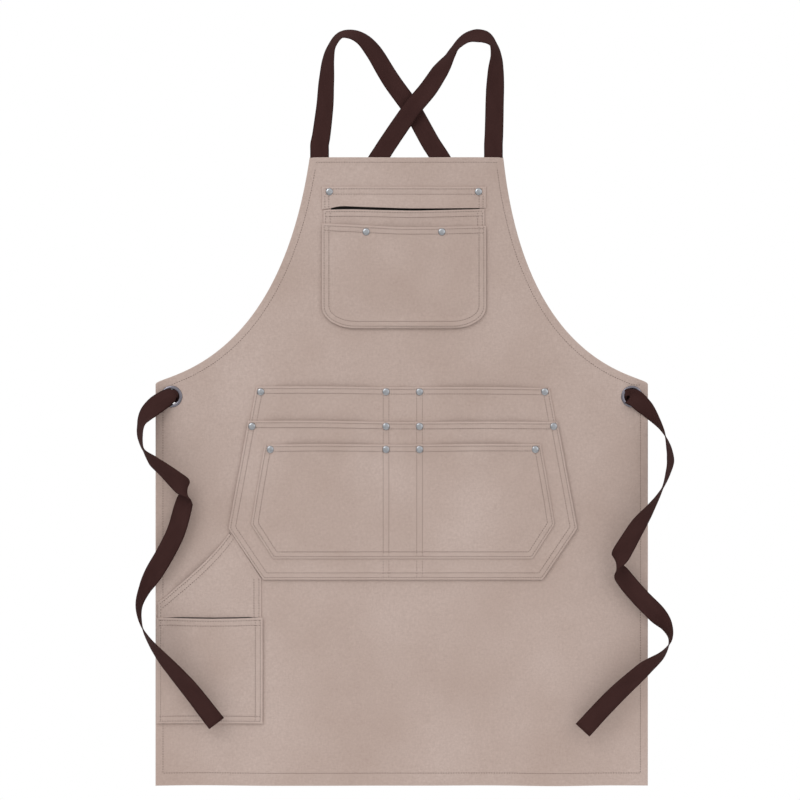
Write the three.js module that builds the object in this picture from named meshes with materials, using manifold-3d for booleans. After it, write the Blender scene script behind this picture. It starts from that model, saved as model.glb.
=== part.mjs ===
// A cross-back work apron, hanging by its two shoulder straps.
//
// Millimetres, +Z up. The origin is the point the straps hang from, between the undersides of
// the two strap loops. The apron's front faces -Y and its back lies against the plane y = 0.

import * as THREE from "three";
import { mergeVertices } from "three/addons/utils/BufferGeometryUtils.js";
import Module from "manifold-3d";

// ---------------------------------------------------------------- driving dimensions

// cloth and the way it is sewn
const CLOTH = 1.0; // canvas thickness
const LAYER_GAP = 0.3; // air between two layers that lie on each other
const HEM = 11; // turned edge of the panel, folded to the back
const SEAM = 13; // flat double-stitched border of a pocket
const TUCK = 2; // how far the lower layer's edge stays inside the edge sewn over it

// main panel
const PANEL_WIDTH = 682;
const BIB_WIDTH = 268.6;
const BIB_DROP = 164.8; // hanging point down to the top edge of the bib
const BIB_HEIGHT = 314.4; // top edge of the bib down to the side corners
const SKIRT_LENGTH = 556; // side corners down to the hem
const BIB_LEAN = 6.6; // the hanging bib leans this far to +X at its top edge
const ARMHOLE_OUT = 37.8; // how far the armhole curve leads out below the bib corner
const ARMHOLE_TURN = 13.6; // height above the side corner where it turns level

// pockets
const POCKET_GAP = 4.8; // clear depth of an open pocket
const CHEST_WIDTH = 227.2;
const CHEST_CENTRE = 3.1;
const CHEST_TOP = 40.9; // top edge of the bib down to the flap's top edge
const FLAP_HEIGHT = 29.8;
const FLAP_SLOT = 5.3; // slit between the flap and the pocket below it
const CHEST_BACK_HEIGHT = 161.2;
const CHEST_FRONT_HEIGHT = 141.6;
const CHEST_CORNER_X = 47; // rounded lower corners
const CHEST_CORNER_Z = 30;
const TACK_SPACING = 104.6; // between the two rivets at the front pocket's mouth
const TACK_DROP = 8.1;
const TACK_PAD = 13; // square of cloth drawn flat around such a rivet

const WAIST_CENTRE = 1.5;
const WAIST_DROP = 3.5; // side corners down to the back pocket's mouth
const WAIST_BACK_MOUTH = 405.8;
const WAIST_MIDDLE_DROP = 47.8; // back pocket's mouth down to the middle pocket's
const WAIST_MIDDLE_MOUTH = 428;
const WAIST_WIDEST = 482.8;
const WAIST_MIDDLE_BOTTOM = 386.6;
const WAIST_MIDDLE_SIDE = 148; // mouth down to the side corners
const WAIST_MIDDLE_HEIGHT = 219.2;
const WAIST_FRONT_DROP = 31.8; // middle pocket's mouth down to the front pocket's
const WAIST_FRONT_MOUTH = 382.2;
const WAIST_FRONT_WIDEST = 420;
const WAIST_FRONT_BOTTOM = 358.8;
const WAIST_FRONT_SIDE = 110.4;
const WAIST_FRONT_HEIGHT = 158.2;
const WAIST_FRONT_SEAM = 14; // its border is wider at the sides
const DIVIDER_OFFSET = 23.2; // the two stitched dividers, either side of the middle
const DIVIDER_HALF = 5.8; // clear half width of the front pocket's divider

const HIP_BOTTOM_RISE = 86.6; // hem up to the hip pockets' bottom edge
const HIP_LOWER_HEIGHT = 146;
const HIP_MOUTH_RISE = 21.5; // lower pocket's mouth up to the slanted mouth's outer end
const HIP_EDGE = 1.5; // panel side to the pockets' outer edge
const HIP_MOUTH_SHARE = 0.07; // how far down the waist pocket's slant the mouth meets it

// rivets
const CAP_RADIUS = 5;
const CAP_HEIGHT = 1.7;
const POST_RADIUS = 1.5;
const BURR_RADIUS = 4;
const BURR_THICKNESS = 1;
const RIVET_INSET = 6.3; // side edge to rivet
const RIVET_DROP = 7; // mouth to rivet
const FLAP_RIVET_INSET = 10.4;
const FRONT_RIVET_INSET = 8;
const FIT = 0.3; // clearance of a post in its hole

// eyelets
const EYELET_HOLE = 10.5; // radius
const EYELET_FLANGE_WIDTH = 4.5; // beyond the hole
const EYELET_WALL = 0.6;
const EYELET_ROLL_WIDTH = 2.5; // of the rolled end at the back, beyond the hole
const EYELET_PLATE = 1; // thickness of flange, washer and roll
const EYELET_SIDE = 22.2; // panel side to the eyelet's centre
const EYELET_DROP = 17; // side corner to the eyelet's centre

// webbing
const WEB_WIDTH = 26;
const WEB_THICKNESS = 1.5;
const WEB_CUPPED_SHARE = 0.78; // of the hole's width: the webbing is drawn together inside an eyelet
const RUN_APPROACH = 16; // a slack strap stands off the panel this far before its eyelet
const RUN_STAND_OFF = 8.6;
const HOLE_SIDE_SHARE = 0.28; // of the hole's radius: the webbing lies this far towards the bib inside it
const LEFT_BACK_LEG = 40.8; // middle of the bib to each back leg, where it meets the bib's top edge
const RIGHT_BACK_LEG = 32.4;
const STRAP_EDGE = 0.8; // bib corner to the strap's outer edge
const TAIL_LENGTH = 46; // strap end sewn behind the bib
const HINGE_RISE = 9; // bib's top edge up to the line the straps fold at
const HINGE_GAP = 1.2; // gap at that line
const LEG_SLANT = 33; // of the back legs where they pass the bib's top edge, from upright
const RUN_BOW = 37; // how far a slack strap bows inwards behind the panel

const ROUND_SIDES = 28; // eyelets
const RIVET_SIDES = 10;
const ARMHOLE_STEPS = 14;
const CORNER_STEPS = 5;
const STEPS_PER_SPAN = 3; // webbing sections between two route points

// ---------------------------------------------------------------- places worked out from them

const BIB_TOP = -BIB_DROP;
const CORNER = BIB_TOP - BIB_HEIGHT;
const HEM_EDGE = CORNER - SKIRT_LENGTH;
const PITCH = CLOTH + POCKET_GAP; // one open pocket layer
const PANEL_FRONT = -CLOTH;
const HINGE_Y = CLOTH + 2 * LAYER_GAP + WEB_THICKNESS / 2;
const HINGE_Z = BIB_TOP + HINGE_RISE;
const EYELET_X = PANEL_WIDTH / 2 - EYELET_SIDE;
const EYELET_Z = CORNER - EYELET_DROP;
const EYELET_FLANGE = EYELET_HOLE + EYELET_FLANGE_WIDTH; // radius
const EYELET_ROLL = EYELET_HOLE + EYELET_ROLL_WIDTH; // radius
const WEB_CUPPED = Math.min(WEB_WIDTH, 2 * EYELET_HOLE * WEB_CUPPED_SHARE);
const WEB_IN_HOLE = EYELET_HOLE * HOLE_SIDE_SHARE; // eyelet's middle to the webbing's
const WEB_END_GAP = 2 * LAYER_GAP; // either side of the plane where a tie begins
const WEB_DRAWN_IN = (WEB_CUPPED + WEB_WIDTH) / 2; // its width just outside an eyelet

// y of the back of each sewn border, and of the outer face of each pocket front
const SEWN_1 = PANEL_FRONT - LAYER_GAP;
const SEWN_2 = SEWN_1 - CLOTH - LAYER_GAP;
const SEWN_3 = SEWN_2 - CLOTH - LAYER_GAP;
const FRONT_1 = PANEL_FRONT - PITCH;
const FRONT_2 = FRONT_1 - PITCH;
const FRONT_3 = FRONT_2 - PITCH;

const CHEST_FLAP_TOP = BIB_TOP - CHEST_TOP;
const CHEST_FLAP_EDGE = CHEST_FLAP_TOP - FLAP_HEIGHT;
const CHEST_BACK_MOUTH = CHEST_FLAP_EDGE - FLAP_SLOT;
const CHEST_BOTTOM = CHEST_BACK_MOUTH - CHEST_BACK_HEIGHT;
const CHEST_FRONT_MOUTH = CHEST_BOTTOM + CHEST_FRONT_HEIGHT;

const BACK_MOUTH = CORNER - WAIST_DROP;
const MIDDLE_MOUTH = BACK_MOUTH - WAIST_MIDDLE_DROP;
const FRONT_MOUTH = MIDDLE_MOUTH - WAIST_FRONT_DROP;
const MIDDLE_SIDE = MIDDLE_MOUTH - WAIST_MIDDLE_SIDE;
const MIDDLE_BOTTOM = MIDDLE_MOUTH - WAIST_MIDDLE_HEIGHT;
const FRONT_SIDE = FRONT_MOUTH - WAIST_FRONT_SIDE;
const FRONT_BOTTOM = FRONT_MOUTH - WAIST_FRONT_HEIGHT;

const HIP_BOTTOM = HEM_EDGE + HIP_BOTTOM_RISE;
const HIP_LOWER_MOUTH = HIP_BOTTOM + HIP_LOWER_HEIGHT;

// a divider's half width grows with each layer below, so that the layers nest
const DIVIDER_WALL = DIVIDER_HALF + CLOTH;
const DIVIDER_MIDDLE = DIVIDER_WALL + LAYER_GAP;
const DIVIDER_BACK = DIVIDER_MIDDLE + CLOTH + LAYER_GAP;

const wasm = await Module();
wasm.setup();

// ---------------------------------------------------------------- materials

const canvas = new THREE.MeshStandardMaterial({ color: 0xbba99e, roughness: 0.95, metalness: 0 });
const webbing = new THREE.MeshStandardMaterial({ color: 0x33211f, roughness: 0.85, metalness: 0 });
const nickel = new THREE.MeshStandardMaterial({ color: 0xb9bfc4, roughness: 0.28, metalness: 1 });

// ---------------------------------------------------------------- solids

/** A closed geometry as a solid that can be cut and joined. */
function solidOf(geometry) {
  const bare = geometry.index ? geometry.toNonIndexed() : geometry.clone();
  bare.deleteAttribute("normal");
  bare.deleteAttribute("uv");
  const merged = mergeVertices(bare, 1e-4);
  return new wasm.Manifold(
    new wasm.Mesh({
      numProp: 3,
      vertProperties: merged.attributes.position.array,
      triVerts: new Uint32Array(merged.index.array),
    }),
  );
}

/** A solid's surface as a geometry. */
function geometryOf(solid) {
  const { vertProperties, triVerts } = solid.getMesh();
  const geometry = new THREE.BufferGeometry();
  geometry.setAttribute("position", new THREE.BufferAttribute(new Float32Array(vertProperties), 3));
  geometry.setIndex(new THREE.BufferAttribute(new Uint32Array(triVerts), 1));
  geometry.computeVertexNormals();
  return geometry;
}

/** An outline in the panel's plane, given as [x, z] corners, filled from y = back to y = front. */
function prism(outline, back, front) {
  const shape = new THREE.Shape(outline.map(([x, z]) => new THREE.Vector2(x, z)));
  const geometry = new THREE.ExtrudeGeometry(shape, { depth: back - front, bevelEnabled: false });
  return geometry.rotateX(Math.PI / 2).translate(0, back, 0);
}

/** A ring-shaped or full turned piece about the Y axis through (x, z); profile rows are [radius, y]. */
function turned(profile, x, z, sides) {
  const points = profile.map(([radius, y]) => new THREE.Vector2(radius, y));
  return new THREE.LatheGeometry(points, sides).translate(x, 0, z);
}

/** A round rod along Y through (x, z). */
function rod(radius, back, front, x, z, sides) {
  return new THREE.CylinderGeometry(radius, radius, back - front, sides).translate(x, (back + front) / 2, z);
}

/** The solid less every cutter. */
function cut(solid, cutters) {
  return cutters.reduce((left, cutter) => left.subtract(solidOf(cutter)), solid);
}

/** The solid joined with every addition. */
function join(solid, additions) {
  return additions.reduce((whole, addition) => whole.add(solidOf(addition)), solid);
}

/** The corners moved inwards, each edge by its own distance; edge i runs from corner i to i + 1. */
function inset(corners, distances) {
  const count = corners.length;
  const signedArea = corners.reduce((sum, [x, z], i) => {
    const [nextX, nextZ] = corners[(i + 1) % count];
    return sum + x * nextZ - nextX * z;
  }, 0);
  const turn = Math.sign(signedArea);
  const lines = corners.map(([x, z], i) => {
    const [nextX, nextZ] = corners[(i + 1) % count];
    const length = Math.hypot(nextX - x, nextZ - z);
    const direction = [(nextX - x) / length, (nextZ - z) / length];
    const inward = [-direction[1] * turn, direction[0] * turn];
    return { at: [x + inward[0] * distances[i], z + inward[1] * distances[i]], direction };
  });
  return lines.map((line, i) => {
    const before = lines[(i + count - 1) % count];
    const cross = before.direction[0] * line.direction[1] - before.direction[1] * line.direction[0];
    if (Math.abs(cross) < 1e-9) return line.at;
    const gapX = line.at[0] - before.at[0];
    const gapZ = line.at[1] - before.at[1];
    const reach = (gapX * line.direction[1] - gapZ * line.direction[0]) / cross;
    return [before.at[0] + before.direction[0] * reach, before.at[1] + before.direction[1] * reach];
  });
}

/** Distances for inset: one for the mouth, which is edge 0, and one for every other edge. */
function edges(corners, mouth, others) {
  return corners.map((_, i) => (i === 0 ? mouth : others));
}

// ---------------------------------------------------------------- group

const apron = new THREE.Group();

/** Adds one named piece. */
function piece(name, geometry, material) {
  const mesh = new THREE.Mesh(geometry, material);
  mesh.name = name;
  apron.add(mesh);
}

// ---------------------------------------------------------------- rivets

// Each rivet is a domed cap with a post, and a burr at the back that the post is set through.
// front is the face the cap bears on, back the face the burr bears on.
const rivets = [];

/** Notes one rivet. */
function rivetAt(name, x, z, front, back) {
  rivets.push({ name, x, z, front: front - LAYER_GAP, back: back + LAYER_GAP });
}

/** Notes a rivet on each side of a middle line. */
function rivetPair(name, centre, offset, z, front, back) {
  rivetAt(`${name}_left`, centre - offset, z, front, back);
  rivetAt(`${name}_right`, centre + offset, z, front, back);
}

const flapRivetOffset = CHEST_WIDTH / 2 - FLAP_RIVET_INSET;
rivetPair("chest_flap", CHEST_CENTRE, flapRivetOffset, CHEST_FLAP_TOP - RIVET_DROP, SEWN_1 - CLOTH, 0);
rivetPair("chest_pocket", CHEST_CENTRE, TACK_SPACING / 2, CHEST_FRONT_MOUTH - TACK_DROP,
  FRONT_1 - LAYER_GAP - CLOTH, FRONT_1 + CLOTH);

for (const [name, mouth, halfMouth, sewn] of [
  ["waist_back", BACK_MOUTH, WAIST_BACK_MOUTH / 2, SEWN_1],
  ["waist_middle", MIDDLE_MOUTH, WAIST_MIDDLE_MOUTH / 2 + 1, SEWN_2],
]) {
  rivetPair(`${name}_outer`, WAIST_CENTRE, halfMouth - RIVET_INSET, mouth - RIVET_DROP, sewn - CLOTH, 0);
  rivetPair(`${name}_divider`, WAIST_CENTRE, DIVIDER_OFFSET, mouth - RIVET_DROP, sewn - CLOTH, 0);
}
rivetPair("waist_front_outer", WAIST_CENTRE, WAIST_FRONT_MOUTH / 2 - FRONT_RIVET_INSET,
  FRONT_MOUTH - RIVET_DROP, FRONT_2 - LAYER_GAP - CLOTH, FRONT_2 + CLOTH);
rivetPair("waist_front_divider", WAIST_CENTRE, DIVIDER_OFFSET, FRONT_MOUTH - RIVET_DROP, SEWN_3 - CLOTH, 0);

/** Clearance holes for the rivets whose names start with one of the given words. */
function rivetHoles(...starts) {
  return rivets
    .filter(({ name }) => starts.some((start) => name.startsWith(start)))
    .map(({ x, z, front, back }) => rod(POST_RADIUS + FIT, back + 1, front - 1, x, z, RIVET_SIDES));
}

/** The cap with its post, and the burr. */
function rivet({ name, x, z, front, back }) {
  const end = back + BURR_THICKNESS;
  const cap = [
    [0, front - CAP_HEIGHT],
    [CAP_RADIUS * 0.55, front - CAP_HEIGHT * 0.86],
    [CAP_RADIUS * 0.88, front - CAP_HEIGHT * 0.5],
    [CAP_RADIUS, front],
    [POST_RADIUS, front],
    [POST_RADIUS, end],
    [0, end],
  ];
  const burr = [
    [POST_RADIUS + FIT, back],
    [BURR_RADIUS, back],
    [BURR_RADIUS, end],
    [POST_RADIUS + FIT, end],
    [POST_RADIUS + FIT, back],
  ];
  piece(`rivet_cap_${name}`, turned(cap, x, z, RIVET_SIDES), nickel);
  piece(`rivet_burr_${name}`, turned(burr, x, z, RIVET_SIDES), nickel);
}

// ---------------------------------------------------------------- panel

/** How far the cloth leans to +X at a height. */
function lean(z) {
  return (BIB_LEAN * Math.max(0, z - CORNER)) / BIB_HEIGHT;
}

/** The panel's outline, drawn in by a margin, from the bib's top edge round to it again. */
function panelOutline(margin) {
  const half = PANEL_WIDTH / 2 - margin;
  const bibHalf = BIB_WIDTH / 2 - margin;
  const corner = CORNER - margin;
  const armhole = new THREE.CubicBezierCurve(
    new THREE.Vector2(bibHalf, BIB_TOP - margin),
    new THREE.Vector2(bibHalf + ARMHOLE_OUT, corner + ARMHOLE_TURN),
    new THREE.Vector2(half, corner + ARMHOLE_TURN),
    new THREE.Vector2(half, corner),
  ).getPoints(ARMHOLE_STEPS);
  const right = [...armhole.map(({ x, y }) => [x, y]), [half, HEM_EDGE + margin]];
  const left = right.map(([x, z]) => [-x, z]).reverse();
  return [...left, ...right].map(([x, z]) => [x + lean(z), z]);
}

/** The panel with its turned hem, and holes for the rivets and eyelets. */
function mainPanel() {
  const outline = panelOutline(0);
  const hem = cut(solidOf(prism(outline, CLOTH, -CLOTH / 2)), [prism(panelOutline(HEM), CLOTH + 1, -CLOTH)]);
  const barrel = EYELET_HOLE + EYELET_WALL + FIT;
  const eyeletHoles = [-EYELET_X, EYELET_X].map((x) => rod(barrel, CLOTH + 1, -CLOTH - 1, x, EYELET_Z, ROUND_SIDES));
  const holes = [
    ...rivetHoles("chest_flap", "waist_back", "waist_middle", "waist_front_divider"),
    ...eyeletHoles,
  ];
  return cut(solidOf(prism(outline, 0, PANEL_FRONT)).add(hem), holes);
}

piece("main_panel", geometryOf(mainPanel()), canvas);

// ---------------------------------------------------------------- pockets

/**
 * A pocket front: a flat sewn border, raised over its compartments, which are open behind and at
 * the mouth. The mouth is the first edge of the outline and of each compartment.
 */
function pocket(outline, compartments, sewn, front) {
  const raised = join(
    solidOf(prism(outline, sewn, sewn - CLOTH)),
    compartments.map((corners) => prism(corners, sewn, front)),
  );
  const hollows = compartments.map((corners) =>
    prism(inset(corners, edges(corners, -CLOTH, CLOTH)), sewn + 1, front + CLOTH),
  );
  return cut(raised, hollows);
}

/** The corners to the right of an upright line, or to its left where keep is -1. */
function clip(corners, line, keep) {
  return corners.flatMap(([x, z], i) => {
    const [nextX, nextZ] = corners[(i + 1) % corners.length];
    const inside = (x - line) * keep >= 0;
    const nextInside = (nextX - line) * keep >= 0;
    const crossing = [line, z + ((line - x) / (nextX - x)) * (nextZ - z)];
    return [...(inside ? [[x, z]] : []), ...(inside === nextInside ? [] : [crossing])];
  });
}

/** The part of a compartment between two upright lines, its mouth first. */
function column(corners, from, to) {
  const kept = clip(clip(corners, from, 1), to, -1);
  const level = ([, z]) => Math.abs(z - corners[0][1]) < LAYER_GAP;
  const start = kept.findIndex((corner, i) => level(corner) && level(kept[(i + 1) % kept.length]));
  return [...kept.slice(start), ...kept.slice(0, start)];
}

/** Six corners: a level mouth, sides that slope out to a widest line, and a narrower bottom. */
function sixSided(centre, mouthHalf, widestHalf, bottomHalf, mouth, side, bottom) {
  return [
    [centre - mouthHalf, mouth],
    [centre + mouthHalf, mouth],
    [centre + widestHalf, side],
    [centre + bottomHalf, bottom],
    [centre - bottomHalf, bottom],
    [centre - widestHalf, side],
  ];
}

/** The three compartments of a waist pocket, each side of its two dividers. */
function waistCompartments(outline, seam, dividerHalf) {
  const open = inset(outline, edges(outline, 0, seam));
  const reach = WAIST_WIDEST;
  const left = WAIST_CENTRE - DIVIDER_OFFSET;
  const right = WAIST_CENTRE + DIVIDER_OFFSET;
  return [
    column(open, left - reach, left - dividerHalf),
    column(open, left + dividerHalf, right - dividerHalf),
    column(open, right + dividerHalf, right + reach),
  ];
}

// The back pocket's edges are sewn in under the middle pocket's below the middle pocket's mouth.
const middleOutline = sixSided(WAIST_CENTRE, WAIST_MIDDLE_MOUTH / 2, WAIST_WIDEST / 2, WAIST_MIDDLE_BOTTOM / 2,
  MIDDLE_MOUTH, MIDDLE_SIDE, MIDDLE_BOTTOM);
const tucked = inset(middleOutline, middleOutline.map(() => TUCK));
const backOutline = [
  [WAIST_CENTRE - WAIST_BACK_MOUTH / 2, BACK_MOUTH],
  [WAIST_CENTRE + WAIST_BACK_MOUTH / 2, BACK_MOUTH],
  ...tucked.slice(1),
  tucked[0],
];
const frontOutline = sixSided(WAIST_CENTRE, WAIST_FRONT_MOUTH / 2, WAIST_FRONT_WIDEST / 2, WAIST_FRONT_BOTTOM / 2,
  FRONT_MOUTH, FRONT_SIDE, FRONT_BOTTOM);

/** The front pocket's dividers, which reach down between the middle pocket's compartments. */
function deepDividers(pocketFront) {
  const strips = [-DIVIDER_OFFSET, DIVIDER_OFFSET].map((offset) => WAIST_CENTRE + offset);
  const strip = (x, half) => [[x - half, FRONT_MOUTH], [x + half, FRONT_MOUTH], [x + half, FRONT_BOTTOM], [x - half, FRONT_BOTTOM]];
  const channels = join(pocketFront, strips.map((x) => prism(strip(x, DIVIDER_WALL), SEWN_3, FRONT_3)));
  const hollow = (x) => inset(strip(x, DIVIDER_HALF), [-1, 0, -1, 0]);
  return cut(channels, strips.map((x) => prism(hollow(x), SEWN_3 - CLOTH, FRONT_3 - 1)));
}

const waistBack = pocket(backOutline, waistCompartments(backOutline, SEAM, DIVIDER_BACK), SEWN_1, FRONT_1);
const waistMiddle = pocket(middleOutline, waistCompartments(middleOutline, SEAM, DIVIDER_MIDDLE), SEWN_2, FRONT_2);
const waistFront = deepDividers(
  pocket(frontOutline, waistCompartments(frontOutline, WAIST_FRONT_SEAM, DIVIDER_HALF), FRONT_2 - LAYER_GAP, FRONT_3),
);
piece("waist_back_pocket",
  geometryOf(cut(waistBack, rivetHoles("waist_back", "waist_middle", "waist_front_divider"))), canvas);
piece("waist_middle_pocket", geometryOf(cut(waistMiddle, rivetHoles("waist_middle", "waist_front"))), canvas);
piece("waist_front_pocket", geometryOf(cut(waistFront, rivetHoles("waist_front"))), canvas);

/** A chest outline with rounded lower corners, from its mouth down to the shared bottom edge. */
function chestOutline(mouth, tuck) {
  const half = CHEST_WIDTH / 2 - tuck;
  const bottom = CHEST_BOTTOM + tuck;
  const arc = [...Array(CORNER_STEPS + 1).keys()].map((i) => (i / CORNER_STEPS) * (Math.PI / 2));
  const right = arc.map((angle) => [
    half - CHEST_CORNER_X * (1 - Math.cos(angle)),
    bottom + CHEST_CORNER_Z * (1 - Math.sin(angle)),
  ]);
  const left = right.map(([x, z]) => [-x, z]).reverse();
  return [[-half, mouth], [half, mouth], ...right, ...left].map(([x, z]) => [CHEST_CENTRE + x, z]);
}

const chestBackOutline = chestOutline(CHEST_BACK_MOUTH, TUCK);
const chestFrontOutline = chestOutline(CHEST_FRONT_MOUTH, 0);
const chestCompartment = (outline) => [inset(outline, edges(outline, 0, SEAM))];
const chestBack = pocket(chestBackOutline, chestCompartment(chestBackOutline), SEWN_1, FRONT_1);

/** The front pocket drawn back to the pocket behind it around each of its two rivets. */
function tackedDown(pocketFront) {
  const squares = [-TACK_SPACING / 2, TACK_SPACING / 2].map((offset) => {
    const x = CHEST_CENTRE + offset;
    const low = CHEST_FRONT_MOUTH - TACK_DROP - TACK_PAD / 2;
    return [
      [x - TACK_PAD / 2, CHEST_FRONT_MOUTH],
      [x + TACK_PAD / 2, CHEST_FRONT_MOUTH],
      [x + TACK_PAD / 2, low],
      [x - TACK_PAD / 2, low],
    ];
  });
  const pad = FRONT_1 - LAYER_GAP;
  const filled = join(pocketFront, squares.map((square) => prism(square, pad, FRONT_2)));
  return cut(filled, squares.map((square) => prism(inset(square, [-1, CLOTH, CLOTH, CLOTH]), pad - CLOTH, FRONT_2 - 1)));
}

const chestFront = tackedDown(pocket(chestFrontOutline, chestCompartment(chestFrontOutline), SEWN_2, FRONT_2));
piece("chest_back_pocket", geometryOf(cut(chestBack, rivetHoles("chest_pocket"))), canvas);
piece("chest_front_pocket", geometryOf(cut(chestFront, rivetHoles("chest_pocket"))), canvas);

// The flap is sewn along its top and sides and open below, so its first edge is its lower edge.
const flapOutline = [
  [CHEST_CENTRE + CHEST_WIDTH / 2, CHEST_FLAP_EDGE],
  [CHEST_CENTRE - CHEST_WIDTH / 2, CHEST_FLAP_EDGE],
  [CHEST_CENTRE - CHEST_WIDTH / 2, CHEST_FLAP_TOP],
  [CHEST_CENTRE + CHEST_WIDTH / 2, CHEST_FLAP_TOP],
];
const flapOpen = inset(flapOutline, [0, SEAM + TUCK, RIVET_DROP + CAP_RADIUS + 1, SEAM + TUCK]);
const chestFlap = pocket(flapOutline, [flapOpen], SEWN_1, FRONT_1);
piece("chest_flap", geometryOf(cut(chestFlap, rivetHoles("chest_flap"))), canvas);

// ---------------------------------------------------------------- hip pockets

// The slanted pocket's upper edge is cut along the waist pocket's slanted lower side.
const waistSide = middleOutline[5];
const waistBottom = middleOutline[4];
const slant = new THREE.Vector2(waistBottom[0] - waistSide[0], waistBottom[1] - waistSide[1]);
const slantOut = new THREE.Vector2(slant.y, -slant.x).setLength(2 * LAYER_GAP);
const hipLeft = -PANEL_WIDTH / 2 + HIP_EDGE;
const hipRight = waistBottom[0] + slantOut.x;

const hipSlantedOutline = [
  [hipLeft + TUCK, HIP_LOWER_MOUTH + HIP_MOUTH_RISE],
  [waistSide[0] + HIP_MOUTH_SHARE * slant.x + slantOut.x, waistSide[1] + HIP_MOUTH_SHARE * slant.y + slantOut.y],
  [hipRight - TUCK, waistBottom[1] + slantOut.y + (TUCK * slant.y) / -slant.x],
  [hipRight - TUCK, HIP_BOTTOM + TUCK],
  [hipLeft + TUCK, HIP_BOTTOM + TUCK],
];
const hipLowerOutline = [
  [hipLeft, HIP_LOWER_MOUTH],
  [hipRight, HIP_LOWER_MOUTH],
  [hipRight, HIP_BOTTOM],
  [hipLeft, HIP_BOTTOM],
];
const hipSlanted = [inset(hipSlantedOutline, edges(hipSlantedOutline, 0, SEAM))];
const hipLower = [inset(hipLowerOutline, edges(hipLowerOutline, 0, SEAM))];
piece("hip_slanted_pocket", geometryOf(pocket(hipSlantedOutline, hipSlanted, SEWN_1, FRONT_1)), canvas);
piece("hip_lower_pocket", geometryOf(pocket(hipLowerOutline, hipLower, SEWN_2, FRONT_2)), canvas);

rivets.forEach(rivet);

// ---------------------------------------------------------------- eyelets

/** The flanged barrel, rolled over at the back, and the washer it grips. */
function eyelet(side, x) {
  const flangeBack = PANEL_FRONT - LAYER_GAP;
  const washerFront = CLOTH + LAYER_GAP;
  const rollFront = washerFront + EYELET_PLATE + LAYER_GAP;
  const barrel = EYELET_HOLE + EYELET_WALL;
  const profile = [
    [EYELET_HOLE, flangeBack - EYELET_PLATE * 0.6],
    [EYELET_HOLE + EYELET_WALL, flangeBack - EYELET_PLATE],
    [EYELET_FLANGE - 1, flangeBack - EYELET_PLATE * 0.8],
    [EYELET_FLANGE, flangeBack],
    [barrel, flangeBack],
    [barrel, rollFront],
    [EYELET_ROLL, rollFront],
    [EYELET_ROLL - EYELET_WALL, rollFront + EYELET_PLATE],
    [EYELET_HOLE, rollFront + EYELET_PLATE],
    [EYELET_HOLE, flangeBack - EYELET_PLATE * 0.6],
  ];
  const washer = [
    [barrel + FIT, washerFront],
    [EYELET_FLANGE, washerFront],
    [EYELET_FLANGE, washerFront + EYELET_PLATE],
    [barrel + FIT, washerFront + EYELET_PLATE],
    [barrel + FIT, washerFront],
  ];
  piece(`eyelet_${side}`, turned(profile, x, EYELET_Z, ROUND_SIDES), nickel);
  piece(`eyelet_washer_${side}`, turned(washer, x, EYELET_Z, ROUND_SIDES), nickel);
}

eyelet("left", -EYELET_X);
eyelet("right", EYELET_X);

// ---------------------------------------------------------------- webbing

/** A number that runs through the given values, smoothly, as u goes from 0 to their last index. */
function through(values, u) {
  const i = Math.min(Math.floor(u), values.length - 2);
  return THREE.MathUtils.lerp(values[i], values[i + 1], THREE.MathUtils.smoothstep(u - i, 0, 1));
}

/**
 * A flat strap along a route. Each row is [x, y, z, turn, width]: a point on its centreline, how
 * many degrees it is turned about its own run, and its width. At turn 0 its face looks the way
 * of facing.
 */
function strap(rows, facing) {
  const points = rows.map(([x, y, z]) => new THREE.Vector3(x, y, z));
  const curve = new THREE.CatmullRomCurve3(points, false, "centripetal");
  const spans = rows.length - 1;
  const steps = spans * STEPS_PER_SPAN;
  const turns = rows.map((row) => row[3]);
  const widths = rows.map((row) => row[4] ?? WEB_WIDTH);
  const corners = [];
  for (let i = 0; i <= steps; i++) {
    const at = curve.getPoint(i / steps);
    const along = curve.getTangent(i / steps);
    const flat = facing.clone().addScaledVector(along, -facing.dot(along)).normalize();
    const across = new THREE.Vector3().crossVectors(along, flat);
    const angle = THREE.MathUtils.degToRad(through(turns, i / STEPS_PER_SPAN));
    const half = through(widths, i / STEPS_PER_SPAN) / 2;
    const edge = across.multiplyScalar(Math.cos(angle)).addScaledVector(flat, Math.sin(angle));
    const normal = new THREE.Vector3().crossVectors(edge, along);
    for (const [sideways, outwards] of [[1, 1], [-1, 1], [-1, -1], [1, -1]]) {
      const corner = at.clone().addScaledVector(edge, sideways * half);
      corners.push(corner.addScaledVector(normal, (outwards * WEB_THICKNESS) / 2));
    }
  }
  const index = [];
  const quad = (a, b, c, d) => index.push(a, c, b, a, d, c);
  // Both faces are split along the same diagonal, so that the strap keeps its thickness in a twist.
  for (let i = 0; i < steps; i++) {
    const [a, b, c, d] = [4 * i, 4 * i + 1, 4 * i + 2, 4 * i + 3];
    quad(a, b, b + 4, a + 4);
    quad(b, c, c + 4, b + 4);
    quad(d, d + 4, c + 4, c);
    quad(d, a, a + 4, d + 4);
  }
  quad(3, 2, 1, 0);
  const last = 4 * steps;
  quad(last, last + 1, last + 2, last + 3);
  const geometry = new THREE.BufferGeometry().setFromPoints(corners);
  geometry.setIndex(index);
  geometry.computeVertexNormals();
  return geometry;
}

/** The route less a length at its start and at its end. */
function trimmed(rows, start, end) {
  const shorten = (from, towards, by) => {
    const a = new THREE.Vector3(...from.slice(0, 3));
    const b = new THREE.Vector3(...towards.slice(0, 3));
    return [...a.addScaledVector(b.sub(a).normalize(), by).toArray(), ...from.slice(3)];
  };
  const count = rows.length;
  return [
    shorten(rows[0], rows[1], start),
    ...rows.slice(1, -1),
    shorten(rows[count - 1], rows[count - 2], end),
  ];
}

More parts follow.
